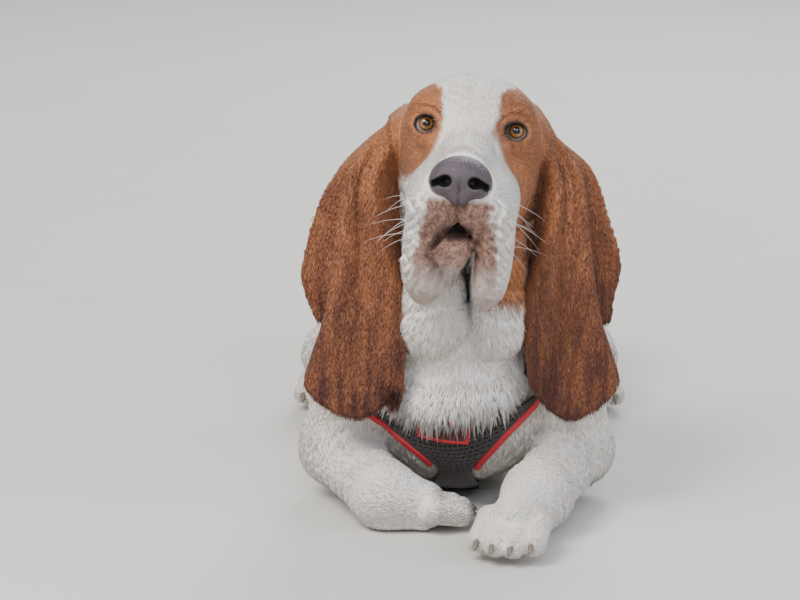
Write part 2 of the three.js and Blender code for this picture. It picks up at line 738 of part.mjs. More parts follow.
// Harness: cloth draped over the body, a sheet between two levels of its field
function slopeAt(p) {
  const h = 0.5;
  const along = (d) => (body(p.clone().add(d)) - body(p.clone().sub(d))) / (2 * h);
  return V(along(V(h, 0, 0)), along(V(0, h, 0)), along(V(0, 0, h)));
}
function dropTo(point, level) {
  const p = point.clone();
  for (let i = 0; i < 8; i++) {
    const slope = slopeAt(p);
    p.addScaledVector(slope, (level - body(p)) / Math.max(slope.lengthSq(), 0.25));
  }
  return p;
}
const SKIN_GAP = 1.4;
const OUTSIDE = SKIN_GAP + CLOTH;
function draped(pointAt, ns, nt, inner = SKIN_GAP, outer = OUTSIDE) {
  return sheet((s, t) => [dropTo(pointAt(s, t), outer), dropTo(pointAt(s, t), inner)], ns, nt);
}

// A band beside a line on the body, from one offset to another, positive towards the dog's rear
function bandBeside(line, from, to, nearOffset, farOffset) {
  return (s, t) => {
    const u = THREE.MathUtils.lerp(from, to, t);
    const here = dropTo(line.getPoint(u), 0);
    const along = line.getPoint(Math.min(u + 0.01, 1)).sub(line.getPoint(Math.max(u - 0.01, 0)));
    const side = slopeAt(here).cross(along).normalize();
    return here.addScaledVector(side, THREE.MathUtils.lerp(nearOffset, farOffset, s));
  };
}

// The outer edges of the front, from the point of the V up over the shoulders to the withers
const EDGES = {
  right: new THREE.CatmullRomCurve3([
    V(-10, -72, 38),
    V(-24, -80, 48),
    V(-44, -74, 64),
    V(-82, -42, 100),
    V(-98, -6, 140),
    V(-90, 45, 182),
    V(-62, 92, 214),
    V(-30, 118, 226),
  ]),
  left: new THREE.CatmullRomCurve3([
    V(4, -72, 38),
    V(14, -80, 48),
    V(38, -74, 76),
    V(64, -50, 104),
    V(88, -8, 140),
    V(88, 45, 182),
    V(62, 92, 214),
    V(30, 118, 226),
  ]),
};
const PANEL_TOP = 3 / 7;
const TRIM_W = 6.5;
const BAND_W = 20;
const NECKLINE_DIP = 0.16;
const harnessRoom = [grownSkin];
async function addCloth(name, solid, look) {
  await add(name, difference([solid, ...harnessRoom]), look, 0.9);
}
const SEAM = 1.5; // between the pieces of cloth

// Red binding along both outer edges
const TRIM_RISE = 0.6;
for (const s of SIDES) {
  const edge = EDGES[sideName(s)];
  const trim = bandBeside(edge, 0.02, 1, 0, -s * TRIM_W);
  const room = bandBeside(edge, 0.01, 1, s * SEAM * 0.6, -s * (TRIM_W + SEAM));
  await addCloth(`${sideName(s)}_trim`, draped(trim, 1, 22, SKIN_GAP, OUTSIDE + TRIM_RISE), RED_WEBBING);
  harnessRoom.push(draped(room, 1, 22, 0, OUTSIDE + TRIM_RISE + 2 * GAP));
}

// Mesh cloth: the front between the bindings, a band over each shoulder, and the back
const frontPanel = (s, t) => {
  const dip = 1 - NECKLINE_DIP * (1 - (2 * s - 1) ** 2);
  const u = t * PANEL_TOP * dip;
  const [from, to] = [EDGES.right.getPoint(u), EDGES.left.getPoint(u)];
  const inset = SEAM / from.distanceTo(to);
  return from.lerp(to, THREE.MathUtils.lerp(inset, 1 - inset, s));
};
await addCloth("chest_panel", draped(frontPanel, 10, 8), MESH_FABRIC);
const BAND_START = PANEL_TOP + 0.006;
for (const s of SIDES) {
  const band = bandBeside(EDGES[sideName(s)], BAND_START, 0.99, s * SEAM, s * (BAND_W + SEAM));
  await addCloth(`${sideName(s)}_shoulder_band`, draped(band, 3, 12), MESH_FABRIC);
}
const BACK = { front: 128, rear: 172, half: 27, z: 236 };
const backAt = (margin) => (s, t) => {
  const half = BACK.half + margin;
  const y = THREE.MathUtils.lerp(BACK.front - margin, BACK.rear + margin, t);
  return V(THREE.MathUtils.lerp(-half, half, s), y, BACK.z);
};
await addCloth("back_panel", draped(backAt(0), 5, 4), MESH_FABRIC);
harnessRoom.push(draped(backAt(SEAM), 5, 4, 0, OUTSIDE + GAP));

// Blank label on the front
const LABEL = { x: -12, y: -84, z: 80, wide: 44, high: 19, lean: rad(-5), thick: 1.2 };
const labelFace = (s, t) => {
  const [x, z] = [(s - 0.5) * LABEL.wide, (t - 0.5) * LABEL.high];
  const [c, d] = [Math.cos(LABEL.lean), Math.sin(LABEL.lean)];
  return V(LABEL.x + x * c - z * d, LABEL.y, LABEL.z + x * d + z * c);
};
const labelBack = OUTSIDE + 3 * GAP;
await addCloth("label", draped(labelFace, 5, 2, labelBack, labelBack + LABEL.thick), RED_WEBBING);

// Straps under the dog lie flat between it and the floor, and leave it along its own skin
const underside = solidOf(surfaceOf(body, V(-120, -60, -24), V(120, 200, 60), TRUNK_CELL, OUTSIDE));
const bellyBlock = block(
  V(-BELLY_HALF, GIRTH_Y - GIRTH_W / 2, 0),
  V(BELLY_HALF, GIRTH_Y + GIRTH_W / 2, CLOTH),
);
await addCloth("belly_strap", bellyBlock, RED_WEBBING);
const sternumLine = new THREE.CatmullRomCurve3([
  V(STERNUM_X, -64, 34),
  V(STERNUM_X, -45, 20),
  V(STERNUM_X, -10, 6),
  V(STERNUM_X, 50, -6),
]);
const sternumBand = bandBeside(sternumLine, 0, 1, -STERNUM_W / 2, STERNUM_W / 2);
const sternumFlat = block(
  V(STERNUM_X - STERNUM_W / 2, 20, 0),
  V(STERNUM_X + STERNUM_W / 2, GIRTH_Y - GIRTH_W / 2 - GAP, CLOTH),
);
await addCloth(
  "sternum_strap",
  union([draped(sternumBand, 3, 10).subtract(FLOOR), sternumFlat.intersect(underside)]),
  MESH_FABRIC,
);

// Girth: down each side from the back to the belly
const girthLine = (s) =>
  new THREE.CatmullRomCurve3([
    V(s * (BACK.half + 2 * SEAM), GIRTH_Y, 234),
    V(s * 72, GIRTH_Y, 206),
    V(s * 102, GIRTH_Y, 150),
    V(s * 104, GIRTH_Y, 90),
    V(s * 88, GIRTH_Y, 36),
    V(s * 62, GIRTH_Y, 6),
    V(s * 30, GIRTH_Y, -12),
  ]);
const belowBelly = block(
  V(-BELLY_HALF - GAP, GIRTH_Y - GIRTH_W, -20),
  V(BELLY_HALF + GAP, GIRTH_Y + GIRTH_W, 2 * CLOTH),
);
for (const s of SIDES) {
  const strap = draped(bandBeside(girthLine(s), 0, 1, -GIRTH_W / 2, GIRTH_W / 2), 2, 20);
  const edges = [s * (BELLY_HALF + GAP), s * (BELLY_HALF + 12)].sort((a, b) => a - b);
  const turn = block(
    V(edges[0], GIRTH_Y - GIRTH_W / 2, 0),
    V(edges[1], GIRTH_Y + GIRTH_W / 2, CLOTH),
  ).intersect(underside);
  const side = difference([union([strap, turn]), FLOOR, belowBelly]);
  await addCloth(`${sideName(s)}_girth_strap`, side, RED_WEBBING);
}

// Side-release buckle on the dog's left, and the lead ring with its keeper on the back
const BUCKLE = { along: 40, across: 30, thick: 9 };
const buckleLevel = OUTSIDE + 2 * GAP;
const buckleFace = (s, t) => {
  const round = 1 - 0.12 * (2 * t - 1) ** 2;
  const y = GIRTH_Y + (s - 0.5) * BUCKLE.across * round;
  return V(104, y, 118 + (t - 0.5) * BUCKLE.along);
};
await addCloth("buckle", draped(buckleFace, 4, 5, buckleLevel, buckleLevel + BUCKLE.thick), BLACK_PLASTIC);
const RING = { r: 13, tube: 2, y: 152 };
const ringCentre = dropTo(V(0, RING.y, BACK.z), OUTSIDE + RING.tube + 4);
const ringUp = slopeAt(ringCentre).normalize();
function ringSolid(tube) {
  const torus = new THREE.TorusGeometry(RING.r, tube, 8, 18);
  torus.applyQuaternion(new THREE.Quaternion().setFromUnitVectors(V(0, 0, 1), ringUp));
  torus.translate(ringCentre.x, ringCentre.y, ringCentre.z);
  return solidOf(torus);
}
await add("lead_ring", ringSolid(RING.tube), STEEL, 1);
const keeperFace = (s, t) => V((s - 0.5) * 18, RING.y - RING.r + (t - 0.5) * 13, BACK.z);
const keeperLevel = OUTSIDE + 2 * GAP;
await addCloth(
  "ring_keeper",
  draped(keeperFace, 3, 2, keeperLevel, keeperLevel + 2 * RING.tube + 6).subtract(ringSolid(RING.tube + 2 * GAP)),
  RED_WEBBING,
);

export default root;
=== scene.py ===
"""A life-size lying basset hound in a mesh harness: skin, coat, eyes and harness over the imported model.

The body is the same field of blended forms as the solids have, in millimetres with the dog facing -Y.
"""

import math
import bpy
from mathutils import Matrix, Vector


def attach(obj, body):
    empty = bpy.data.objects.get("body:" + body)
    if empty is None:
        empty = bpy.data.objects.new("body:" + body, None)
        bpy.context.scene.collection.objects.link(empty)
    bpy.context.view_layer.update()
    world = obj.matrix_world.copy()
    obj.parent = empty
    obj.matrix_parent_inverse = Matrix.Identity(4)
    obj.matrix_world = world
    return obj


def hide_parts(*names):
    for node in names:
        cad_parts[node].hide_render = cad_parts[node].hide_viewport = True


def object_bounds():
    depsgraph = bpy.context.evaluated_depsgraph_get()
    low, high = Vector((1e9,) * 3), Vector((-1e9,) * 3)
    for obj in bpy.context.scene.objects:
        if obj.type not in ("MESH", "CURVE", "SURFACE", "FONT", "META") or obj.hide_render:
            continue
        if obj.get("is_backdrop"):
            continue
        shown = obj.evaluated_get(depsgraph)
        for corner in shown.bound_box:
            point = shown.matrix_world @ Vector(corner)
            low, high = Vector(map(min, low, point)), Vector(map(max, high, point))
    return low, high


bl_info = {
    "name": "Basset Hound",
    "version": (1, 0, 0),
    "blender": (4, 5, 0),
    "location": "3D View > Sidebar > Basset",
    "description": "A lying basset hound with its short coat, its mesh harness and a plain studio",
    "category": "Add Mesh",
}

import bmesh
import bpy
import numpy as np
from bpy.props import FloatProperty, FloatVectorProperty, IntProperty, PointerProperty
from mathutils import Vector
from mathutils.bvhtree import BVHTree

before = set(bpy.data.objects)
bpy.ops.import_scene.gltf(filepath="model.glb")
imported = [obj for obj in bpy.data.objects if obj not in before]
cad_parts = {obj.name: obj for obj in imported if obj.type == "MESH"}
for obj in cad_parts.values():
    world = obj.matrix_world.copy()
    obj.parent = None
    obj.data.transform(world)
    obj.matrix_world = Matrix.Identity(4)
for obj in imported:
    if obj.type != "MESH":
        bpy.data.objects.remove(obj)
CAD_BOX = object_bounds()

MM = 0.001
BODY = "root"
FLOOR_MIDDLE = 250.0  # the origin lies this far behind the front of the shoulders
SIDES = (-1, 1)
SIDE_NAME = {-1: "right", 1: "left"}

FLESH = [
    "head", "lower_jaw", "neck", "chest", "loin", "rump", "tail", "left_ear", "right_ear",
    "left_foreleg", "right_foreleg", "left_forepaw", "right_forepaw",
    "left_thigh", "right_thigh", "left_hindpaw", "right_hindpaw",
]


def linear(hex_colour):
    """An sRGB hex colour as linear red, green and blue."""
    parts = [int(hex_colour[i : i + 2], 16) / 255 for i in (0, 2, 4)]
    return tuple(c / 12.92 if c <= 0.04045 else ((c + 0.055) / 1.055) ** 2.4 for c in parts)


def rgba(colour, shade=1.0):
    """A linear colour made darker or lighter, with full alpha, as a colour socket wants it."""
    return (*[c * shade for c in colour], 1)


# Vectors and easing


def vec(*xyz):
    return np.array(xyz, float)


def unit(v):
    return v / np.maximum(np.linalg.norm(v, axis=-1, keepdims=True), 1e-9)


def ease(low, high, x):
    t = np.clip((x - low) / (high - low), 0, 1)
    return t * t * (3 - 2 * t)


def bump_at(x, width):
    return np.exp(-((x / width) ** 2))


def to_frame(points):
    """Design millimetres to the frame's metres."""
    return (points - vec(0, FLOOR_MIDDLE, 0)) * MM


# The head's own axes: x to the dog's left, f along the muzzle, u up through the skull

EYE_LINE = vec(10, -75, 333)
HEAD_PITCH, HEAD_YAW, HEAD_ROLL = np.radians([13, 2.2, 4.4])
EYE_SPACING = 74
EYE_R = 11.5
SKULL_W = 114
CHEST_W = 200
CHEST_DEPTH = 210
FLEW_DROP = 148
FORWARD = vec(
    -math.sin(HEAD_YAW) * math.cos(HEAD_PITCH),
    -math.cos(HEAD_YAW) * math.cos(HEAD_PITCH),
    math.sin(HEAD_PITCH),
)
LEVEL = vec(math.cos(HEAD_YAW), -math.sin(HEAD_YAW), 0)
LEFT = LEVEL * math.cos(HEAD_ROLL) - np.cross(FORWARD, LEVEL) * math.sin(HEAD_ROLL)
UP = np.cross(FORWARD, LEFT)


def head_point(x, f, u):
    return EYE_LINE + x * LEFT + f * FORWARD + u * UP


def in_head(p):
    """A point's place along the head's three axes."""
    d = p - EYE_LINE
    return d @ LEFT, d @ FORWARD, d @ UP


# Fields: a form gives each point's distance to a surface, negative inside

FAR = 1000.0
REACH = 45.0  # past this a form no longer shapes its neighbours


def bounded(distance, low, high):
    def form(p):
        d = np.full(len(p), FAR)
        near = ((p > low - REACH) & (p < high + REACH)).all(axis=1)
        if near.any():
            d[near] = distance(p[near])
        return d

    return form


def limb(a, b, ra, rb):
    axis = b - a
    l2 = axis @ axis
    taper = ra - rb
    a2 = l2 - taper * taper

    def distance(p):
        pa = p - a
        y = pa @ axis
        z = y - l2
        q = pa * l2 - y[:, None] * axis
        x2 = (q * q).sum(axis=1)
        k = np.sign(taper) * taper * taper * x2
        far_end = np.sqrt(x2 + z * z * l2) / l2 - rb
        near_end = np.sqrt(x2 + y * y * l2) / l2 - ra
        along = (np.sqrt(x2 * a2 / l2) + y * taper) / l2 - ra
        past_start = np.where(np.sign(y) * a2 * y * y * l2 < k, near_end, along)
        return np.where(np.sign(z) * a2 * z * z * l2 > k, far_end, past_start)

    return bounded(distance, np.minimum(a - ra, b - rb), np.maximum(a + ra, b + rb))


def egg(centre, radii, axes=np.eye(3)):
    radii = np.array(radii, float)

    def distance(p):
        local = (p - centre) @ axes.T / radii
        k0 = np.sqrt((local**2).sum(axis=1))
        k1 = np.sqrt(((local / radii) ** 2).sum(axis=1))
        return np.where(k1 < 1e-9, -radii.min(), k0 * (k0 - 1) / np.maximum(k1, 1e-9))

    reach = np.sqrt(((axes * radii[:, None]) ** 2).sum(axis=0))
    return bounded(distance, centre - reach, centre + reach)


def smooth_min(a, b, k):
    h = np.maximum(k - np.abs(a - b), 0) / k
    return np.minimum(a, b) - h * h * k * 0.25


def smooth_max(a, b, k):
    return -smooth_min(-a, -b, k)


def joined(d, p, k, forms):
    """A distance with more forms blended into it, one after the other."""
    for form in forms:
        d = smooth_min(d, form(p), k)
    return d


def blend(k, *forms):
    return lambda p: joined(forms[0](p), p, k, forms[1:])


def leaning(x, y, z):
    """Axes turned by degrees about the frame's X, Y and Z, one in each line."""
    a, b, c = np.radians([x, y, z])
    about_x = np.array([[1, 0, 0], [0, math.cos(a), -math.sin(a)], [0, math.sin(a), math.cos(a)]])
    about_y = np.array([[math.cos(b), 0, math.sin(b)], [0, 1, 0], [-math.sin(b), 0, math.cos(b)]])
    about_z = np.array([[math.cos(c), -math.sin(c), 0], [math.sin(c), math.cos(c), 0], [0, 0, 1]])
    return (about_x @ about_y @ about_z).T


def head_egg(x, f, u, rx, rf, ru, tilt=0):
    t = math.radians(tilt)
    f2 = FORWARD * math.cos(t) + UP * math.sin(t)
    u2 = UP * math.cos(t) - FORWARD * math.sin(t)
    return egg(head_point(x, f, u), (rx, rf, ru), np.array([LEFT, f2, u2]))


def head_limb(a, b, ra, rb):
    return limb(head_point(*a), head_point(*b), ra, rb)


# How softly the main forms run into each other, in millimetres
NECK_BLEND = 22
HEAD_BLEND = 16
LIMB_BLEND = 14

# Head

skull = blend(
    18,
    head_egg(0, -62, 2, SKULL_W / 2, 72, 47),
    head_egg(0, -20, 8, 45, 38, 34),
    head_egg(0, -120, 14, 22, 18, 18),
    *[head_egg(s * 32, -5, 15, 17, 15, 13) for s in SIDES],
    *[head_egg(s * 33, -15, -4, 20, 19, 20) for s in SIDES],
    *[head_egg(s * 40, -45, -28, 20, 42, 34) for s in SIDES],
)
muzzle = blend(
    12,
    head_limb((0, -8, -24), (0, 94, -46), 32, 22),
    *[head_limb((s * 20, -5, -50), (s * 17, 86, -62), 28, 21) for s in SIDES],
)
flews = [
    blend(
        14,
        head_egg(s * 28, 42, -92, 17, 50, 50, 8),
        head_egg(s * 17, 84, -66, 17, 20, 20, 12),
        head_egg(s * 23, 46, 26 - FLEW_DROP, 15, 30, 26, 10),
    )
    for s in SIDES
]
jaw = head_limb((0, 80, -105), (0, 26, -97), 15, 21)
mouth_hollow = head_egg(0, 94, -88, 13, 24, 6)
nose_form = blend(
    8,
    head_egg(0, 104, -44, 23, 19, 17),
    *[head_egg(s * 14, 106, -50, 11, 14, 11) for s in SIDES],
    head_egg(0, 108, -60, 8, 9, 8),
)


def head(p):
    d = joined(smooth_min(skull(p), muzzle(p), 22), p, 14, flews)
    return smooth_min(d, jaw(p), 3)


# Neck and trunk

neck = blend(
    26,
    limb(head_point(0, -66, -52), vec(0, 45, 158), 56, 80),
    limb(head_point(0, -100, -10), vec(0, 70, 185), 34, 42),
)
dewlaps = [limb(vec(s * 25 + 5, -66, 236), vec(s * 28 + 3, -72, 168), 24, 31) for s in SIDES]
trunk = blend(
    34,
    egg(vec(0, 90, CHEST_DEPTH / 2 - 6), (CHEST_W / 2, 162, CHEST_DEPTH / 2)),
    egg(vec(0, -20, 96), (66, 60, 66)),
    egg(vec(0, 250, 88), (90, 150, 94)),
    egg(vec(0, 400, 104), (82, 92, 86)),
    *[egg(vec(s * 66, 45, 142), (36, 66, 62), leaning(18, s * 12, 0)) for s in SIDES],
)


def throat(p):
    return joined(neck(p), p, 12, dewlaps)


# Legs, joint by joint, from hip or shoulder to the toes

PAW_W = 60
HIND_PAW_W = PAW_W - 8
FORELEGS = [
    [vec(88, -18, 100), vec(101, 2, 42), vec(66, -118, 33), vec(47, -172, 27), vec(38, -208, 17)],
    [vec(-88, -18, 100), vec(-103, -4, 43), vec(-60, -104, 28), vec(-30, -106, 21), vec(-2, -88, 15)],
]
HINDLEGS = [
    [vec(s * 112, 296, 52), vec(s * 104, 438, 27), vec(s * 122, 318, 22), vec(s * 126, 278, 16)]
    for s in SIDES
]
TAIL = [
    vec(0, 478, 118), vec(4, 520, 66), vec(22, 556, 24),
    vec(62, 600, 13), vec(108, 617, 10), vec(141, 611, 7),
]
TAIL_R = [26, 20, 17, 13, 10, 6]


def upper_foreleg(leg):
    shoulder, elbow, wrist = leg[:3]
    return blend(22, limb(shoulder, elbow, 38, 28), limb(elbow, wrist, 29, 25))


def thigh(leg):
    s = math.copysign(1, leg[0][0])
    return blend(
        20,
        egg(vec(s * 88, 372, 80), (38, 84, 74), leaning(-12, 0, s * 6)),
        limb(leg[0], leg[1], 34, 20),
    )


def toes_of(leg, width):
    """Root, tip, heading and radius of four toes, the outer two a little shorter."""
    knuckles, toes = leg[-2:]
    ahead = unit((toes - knuckles) * vec(1, 1, 0))
    across = np.cross(vec(0, 0, 1), ahead)
    found = []
    for i in (-1.5, -0.5, 0.5, 1.5):
        root = knuckles + across * i * width / 4.6
        tip = toes + across * i * width / 4 - ahead * (9 if abs(i) > 1 else 0)
        found.append((root, tip, ahead, width / 5.6))
    return found


def paw(leg, start, wrist_r, width):
    toes = [limb(root, tip, width / 5, radius) for root, tip, _, radius in toes_of(leg, width)]
    return blend(4.5, limb(start, leg[-2], wrist_r, width * 0.36), *toes)


tail = blend(10, *[limb(TAIL[i], TAIL[i + 1], TAIL_R[i], TAIL_R[i + 1]) for i in range(len(TAIL) - 1)])
upper_legs = [upper_foreleg(leg) for leg in FORELEGS] + [thigh(leg) for leg in HINDLEGS]
forepaws = [paw(leg, leg[2], 25, PAW_W) for leg in FORELEGS]
hindpaws = [paw(leg, leg[1], 19, HIND_PAW_W) for leg in HINDLEGS]


def body(p):
    d = smooth_min(trunk(p), throat(p), NECK_BLEND)
    d = smooth_min(d, head(p), HEAD_BLEND)
    return joined(d, p, LIMB_BLEND, [tail] + upper_legs + forepaws + hindpaws)


# Curves


def spline(points, t):
    """Centripetal Catmull-Rom through points (n, 3) or (n, m, 3), at t from 0 to 1."""
    points = np.asarray(points, float)
    ends = [2 * points[:1] - points[1:2], points, 2 * points[-1:] - points[-2:-1]]
    padded = np.concatenate(ends)
    t = np.clip(np.asarray(t, float), 0, 1) * (len(points) - 1)
    i = np.minimum(t.astype(int), len(points) - 2)
    w = (t - i)[..., None]
    if padded.ndim == 3:
        column = np.arange(padded.shape[1])
        p0, p1, p2, p3 = (padded[i + j, column] for j in range(4))
    else:
        p0, p1, p2, p3 = (padded[i + j] for j in range(4))
    gaps = [
        np.maximum(np.sqrt(np.linalg.norm(b - a, axis=-1, keepdims=True)), 1e-6)
        for a, b in ((p0, p1), (p1, p2), (p2, p3))
    ]
    d0, d1, d2 = gaps
    m1 = ((p1 - p0) / d0 - (p2 - p0) / (d0 + d1) + (p2 - p1) / d1) * d1
    m2 = ((p2 - p1) / d1 - (p3 - p1) / (d1 + d2) + (p3 - p2) / d2) * d1
    return p1 + m1 * w + (3 * (p2 - p1) - 2 * m1 - m2) * w**2 + (2 * (p1 - p2) + m1 + m2) * w**3


# Ears: each column runs from the root to the tip as out, down and ahead of the eye line

EAR_COLUMNS = [
    [(50, 8, -42), (58, 52, -36), (56, 106, -22), (48, 150, -8), (58, 206, -2)],  # front edge, turned under
    [(57, 6, -30), (76, 50, -14), (66, 106, 6), (51, 152, 13), (55, 214, 12)],  # front ridge
    [(58, 4, -40), (85, 46, -24), (84, 104, -6), (80, 162, 7), (88, 240, 12)],  # hollow
    [(57, 3, -48), (93, 40, -26), (102, 100, -8), (110, 160, 7), (129, 212, 10)],  # outer ridge
    [(55, 5, -68), (90, 38, -50), (100, 94, -36), (104, 140, -28), (108, 176, -22)],  # turned back
    [(51, 8, -96), (103, 46, -66), (123, 90, -52), (132, 130, -46), (122, 168, -40)],  # rear edge
]
EAR_SPREAD = {1: 0.94, -1: 1.06}
EAR_HALF_THICK = (4.5, 1.9)  # at the root and over the flap
EAR_GRID = (48, 60)


class Ear:
    """The middle surface of one ear flap, and how far points are from it."""

    def __init__(self, s):
        columns = [
            [EYE_LINE + vec(s * out * EAR_SPREAD[s], -ahead, -down) for out, down, ahead in column]
            for column in EAR_COLUMNS
        ]
        nu, nv = EAR_GRID
        along = np.linspace(0, 1, nv + 1)
        lines = np.array([spline(column, along) for column in columns])
        rows = []
        for u in np.linspace(0, 1, nu + 1):
            rows.append(spline(lines, np.full(nv + 1, u)))
        grid = np.array(rows)
        # Shallow ripples and a fluttering rim, as a thin flap has
        a, b = np.meshgrid(np.linspace(0, 1, nu + 1), along, indexing="ij")
        normal = unit(np.cross(np.gradient(grid, axis=0), np.gradient(grid, axis=1)))
        ripple = 1.1 * np.sin(9 * a + 5 * b + s) * ease(0.2, 0.6, b)
        pleat = bump_at(a - 0.30 - 0.08 * b, 0.045) - bump_at(a - 0.38 - 0.08 * b, 0.045)
        ripple += 3.2 * pleat * ease(0.08, 0.25, b) * ease(0.8, 0.5, b)
        flutter = 1.6 * np.sin(21 * a + 2 * s) * ease(0.86, 1, b)
        flutter += 1.3 * np.sin(17 * b) * (ease(0.9, 1, a) + ease(0.1, 0, a))
        grid = grid + normal * (ripple + flutter)[..., None]
        self.grid = grid
        self.low, self.high = grid.min(axis=(0, 1)) - 14, grid.max(axis=(0, 1)) + 14
        corner = np.arange(nu * (nv + 1)).reshape(nu, nv + 1)[:, :-1].ravel()
        quads = np.stack([corner, corner + nv + 1, corner + nv + 2, corner + 1], axis=1)
        self.row = corner % (nv + 1) / nv
        self.column = corner // (nv + 1) / nu
        self.tree = BVHTree.FromPolygons(grid.reshape(-1, 3).tolist(), quads.tolist())

    def near(self, p, limit=13.0):
        """Distance to the flap's surface, and the place along and across it."""
        d = np.full(len(p), FAR)
        along = np.zeros(len(p))
        across = np.zeros(len(p))
        for i in np.flatnonzero(((p > self.low) & (p < self.high)).all(axis=1)):
            hit = self.tree.find_nearest(Vector(p[i]), limit)
            if hit[0] is not None:
                d[i] = hit[3]
                along[i] = self.row[hit[2]]
                across[i] = self.column[hit[2]]
        half = EAR_HALF_THICK[1] + (EAR_HALF_THICK[0] - EAR_HALF_THICK[1]) * ease(0.16, 0, along)
        return d - half * (d < FAR), along, across


ears = [Ear(s) for s in SIDES]
ear_roots = [
    limb(
        EYE_LINE + vec(s * 45 * EAR_SPREAD[s], 32, -9), EYE_LINE + vec(s * 48 * EAR_SPREAD[s], 84, -7),
        11, 10,
    )
    for s in SIDES
]

# Skin: the body's field drawn in by the depth of the coat, with folds, lids and ears

EYE_X = EYE_SPACING / 2
EYE_CENTRES = {s: head_point(s * EYE_X, -5, 0) for s in SIDES}
OPENING = (8.8, 7.4)  # half width and half height between the lids
LID = 2.1
COAT_DEPTH = {"face": 1.0, "body": 2.2}
FLOOR_CLEAR = 0.6
CREASE_X = 11.0  # between the two lobes of the dewlap


def ripples(x, spacing):
    """Soft rounded folds with narrow valleys, from 0 to 1."""
    return np.abs(np.sin(x * math.pi / spacing)) ** 0.6


def rolls(x, spacing):
    """Even soft rolls, from 0 to 1."""
    return 0.5 + 0.5 * np.cos(x * 2 * math.pi / spacing)


def folds(p):
    """How far the loose skin stands out, in millimetres."""
    x, f, u = in_head(p)
    out = np.zeros(len(p))
    on_head = ease(-120, -80, f) * ease(-175, -150, u)
    # Furrow down the forehead and the stop, and faint frown lines over each eye
    out -= 1.5 * bump_at(x + 1, 5) * bump_at(f + 10, 34) * ease(8, 22, u) * on_head
    frown = ripples(u - 0.35 * np.abs(x), 7.5) * bump_at(np.abs(x) - 24, 16) * bump_at(u - 24, 13)
    out += 0.9 * frown * ease(-60, -25, f)
    # A crease over each upper lid
    r = np.hypot((np.abs(x) - EYE_X) / 15.5, (u - 1) / 13.5)
    out -= 1.3 * bump_at(r - 1, 0.13) * ease(1, 7, u) * ease(-26, -14, f)
    # Bags under the eyes, and creases from their inner corners down the muzzle
    bag = bump_at(np.hypot(np.abs(x) - EYE_X, (u + 13) * 1.2) - 3, 5.5)
    out += 1.8 * bag * ease(-30, -12, f) * ease(4, -6, u)
    out -= 1.2 * bump_at(np.abs(x) - 22 + 0.25 * (u + 20), 3.2) * bump_at(u + 20, 15) * ease(-6, 4, f)
    # Cheek folds that hang from behind the eye to the flews
    cheek = ripples(f + 0.45 * u, 15)
    out += 1.7 * cheek * bump_at(f - 4, 30) * bump_at(u + 92, 42) * ease(24, 36, np.abs(x)) * on_head
    # Split in the upper lip below the nose, and the wrinkled front of the lips
    front = ease(56, 76, f) * ease(-56, -66, u)
    out -= 2.2 * bump_at(x, 1.8) * front * ease(-90, -80, u)
    wander = 4 * np.sin(u * 0.13 + np.sign(x)) + 2 * np.sin(u * 0.31)
    out += 1.9 * rolls(np.abs(x) + 0.2 * u + wander, 9.5) * front * ease(3, 8, np.abs(x))
    lip_lines = rolls(u * 0.9 + np.abs(x) * 0.7 + 2 * np.sin(x * 0.3), 8.0) * front
    out += 1.1 * lip_lines * ease(4, 9, np.abs(x))
    # Arched wrinkles on the bridge behind the nose
    bridge = ripples(f + 0.012 * x * x, 5.5) * bump_at(f - 80, 10) * bump_at(x, 17)
    out += 0.7 * bridge * ease(-50, -38, u)
    # Crease between the lobes of the dewlap, and rings round the throat and neck
    fore = ease(-20, -50, p[:, 1]) * ease(258, 236, p[:, 2]) * ease(140, 165, p[:, 2])
    out -= 7.5 * bump_at(p[:, 0] - CREASE_X - 2.5 * np.sin(p[:, 2] * 0.05), 6) * fore
    ring = ripples(p[:, 2] + 0.30 * np.abs(p[:, 0] - CREASE_X) + 6 * np.sin(p[:, 0] * 0.05), 24)
    on_neck = ease(158, 182, p[:, 2]) * ease(290, 262, p[:, 2]) * ease(70, 0, p[:, 1])
    out += 2.2 * ring * on_neck * ease(-115, -95, p[:, 1])
    sag = ripples(p[:, 1] * 0.7 + p[:, 2] * 0.7, 26) * ease(60, 85, np.abs(p[:, 0]))
    out += 1.2 * sag * ease(-30, 20, p[:, 1]) * ease(190, 140, p[:, 2]) * ease(30, 70, p[:, 2])
    return out + leg_folds(p)


def leg_folds(p):
    """Loose stockings of skin above each paw, and the folds before the thigh."""
    out = np.zeros(len(p))
    for leg in FORELEGS:
        start, end = leg[1], leg[3]
        axis = end - start
        t = (p - start) @ axis / (axis @ axis)
        away = np.linalg.norm(p - start - np.clip(t, 0, 1)[:, None] * axis, axis=1)
        ring = ripples(t * np.linalg.norm(axis) + 5 * np.sin(p[:, 2] * 0.14), 17)
        out += 1.9 * ring * ease(0.12, 0.3, t) * ease(0.96, 0.74, t) * ease(52, 40, away)
    for leg in HINDLEGS:
        s = math.copysign(1, leg[0][0])
        t = (p[:, 1] - 300) * 0.8 + (p[:, 2] - 60) * 0.6
        outer = ease(70, 100, p[:, 0] * s) * ease(250, 290, p[:, 1]) * ease(440, 400, p[:, 1])
        out += 1.3 * ripples(t, 21) * outer * ease(110, 80, p[:, 2])
    return out


def to_feet(p):
    """Distance to the nearest foot."""
    return np.minimum.reduce([foot(p) for foot in forepaws + hindpaws])


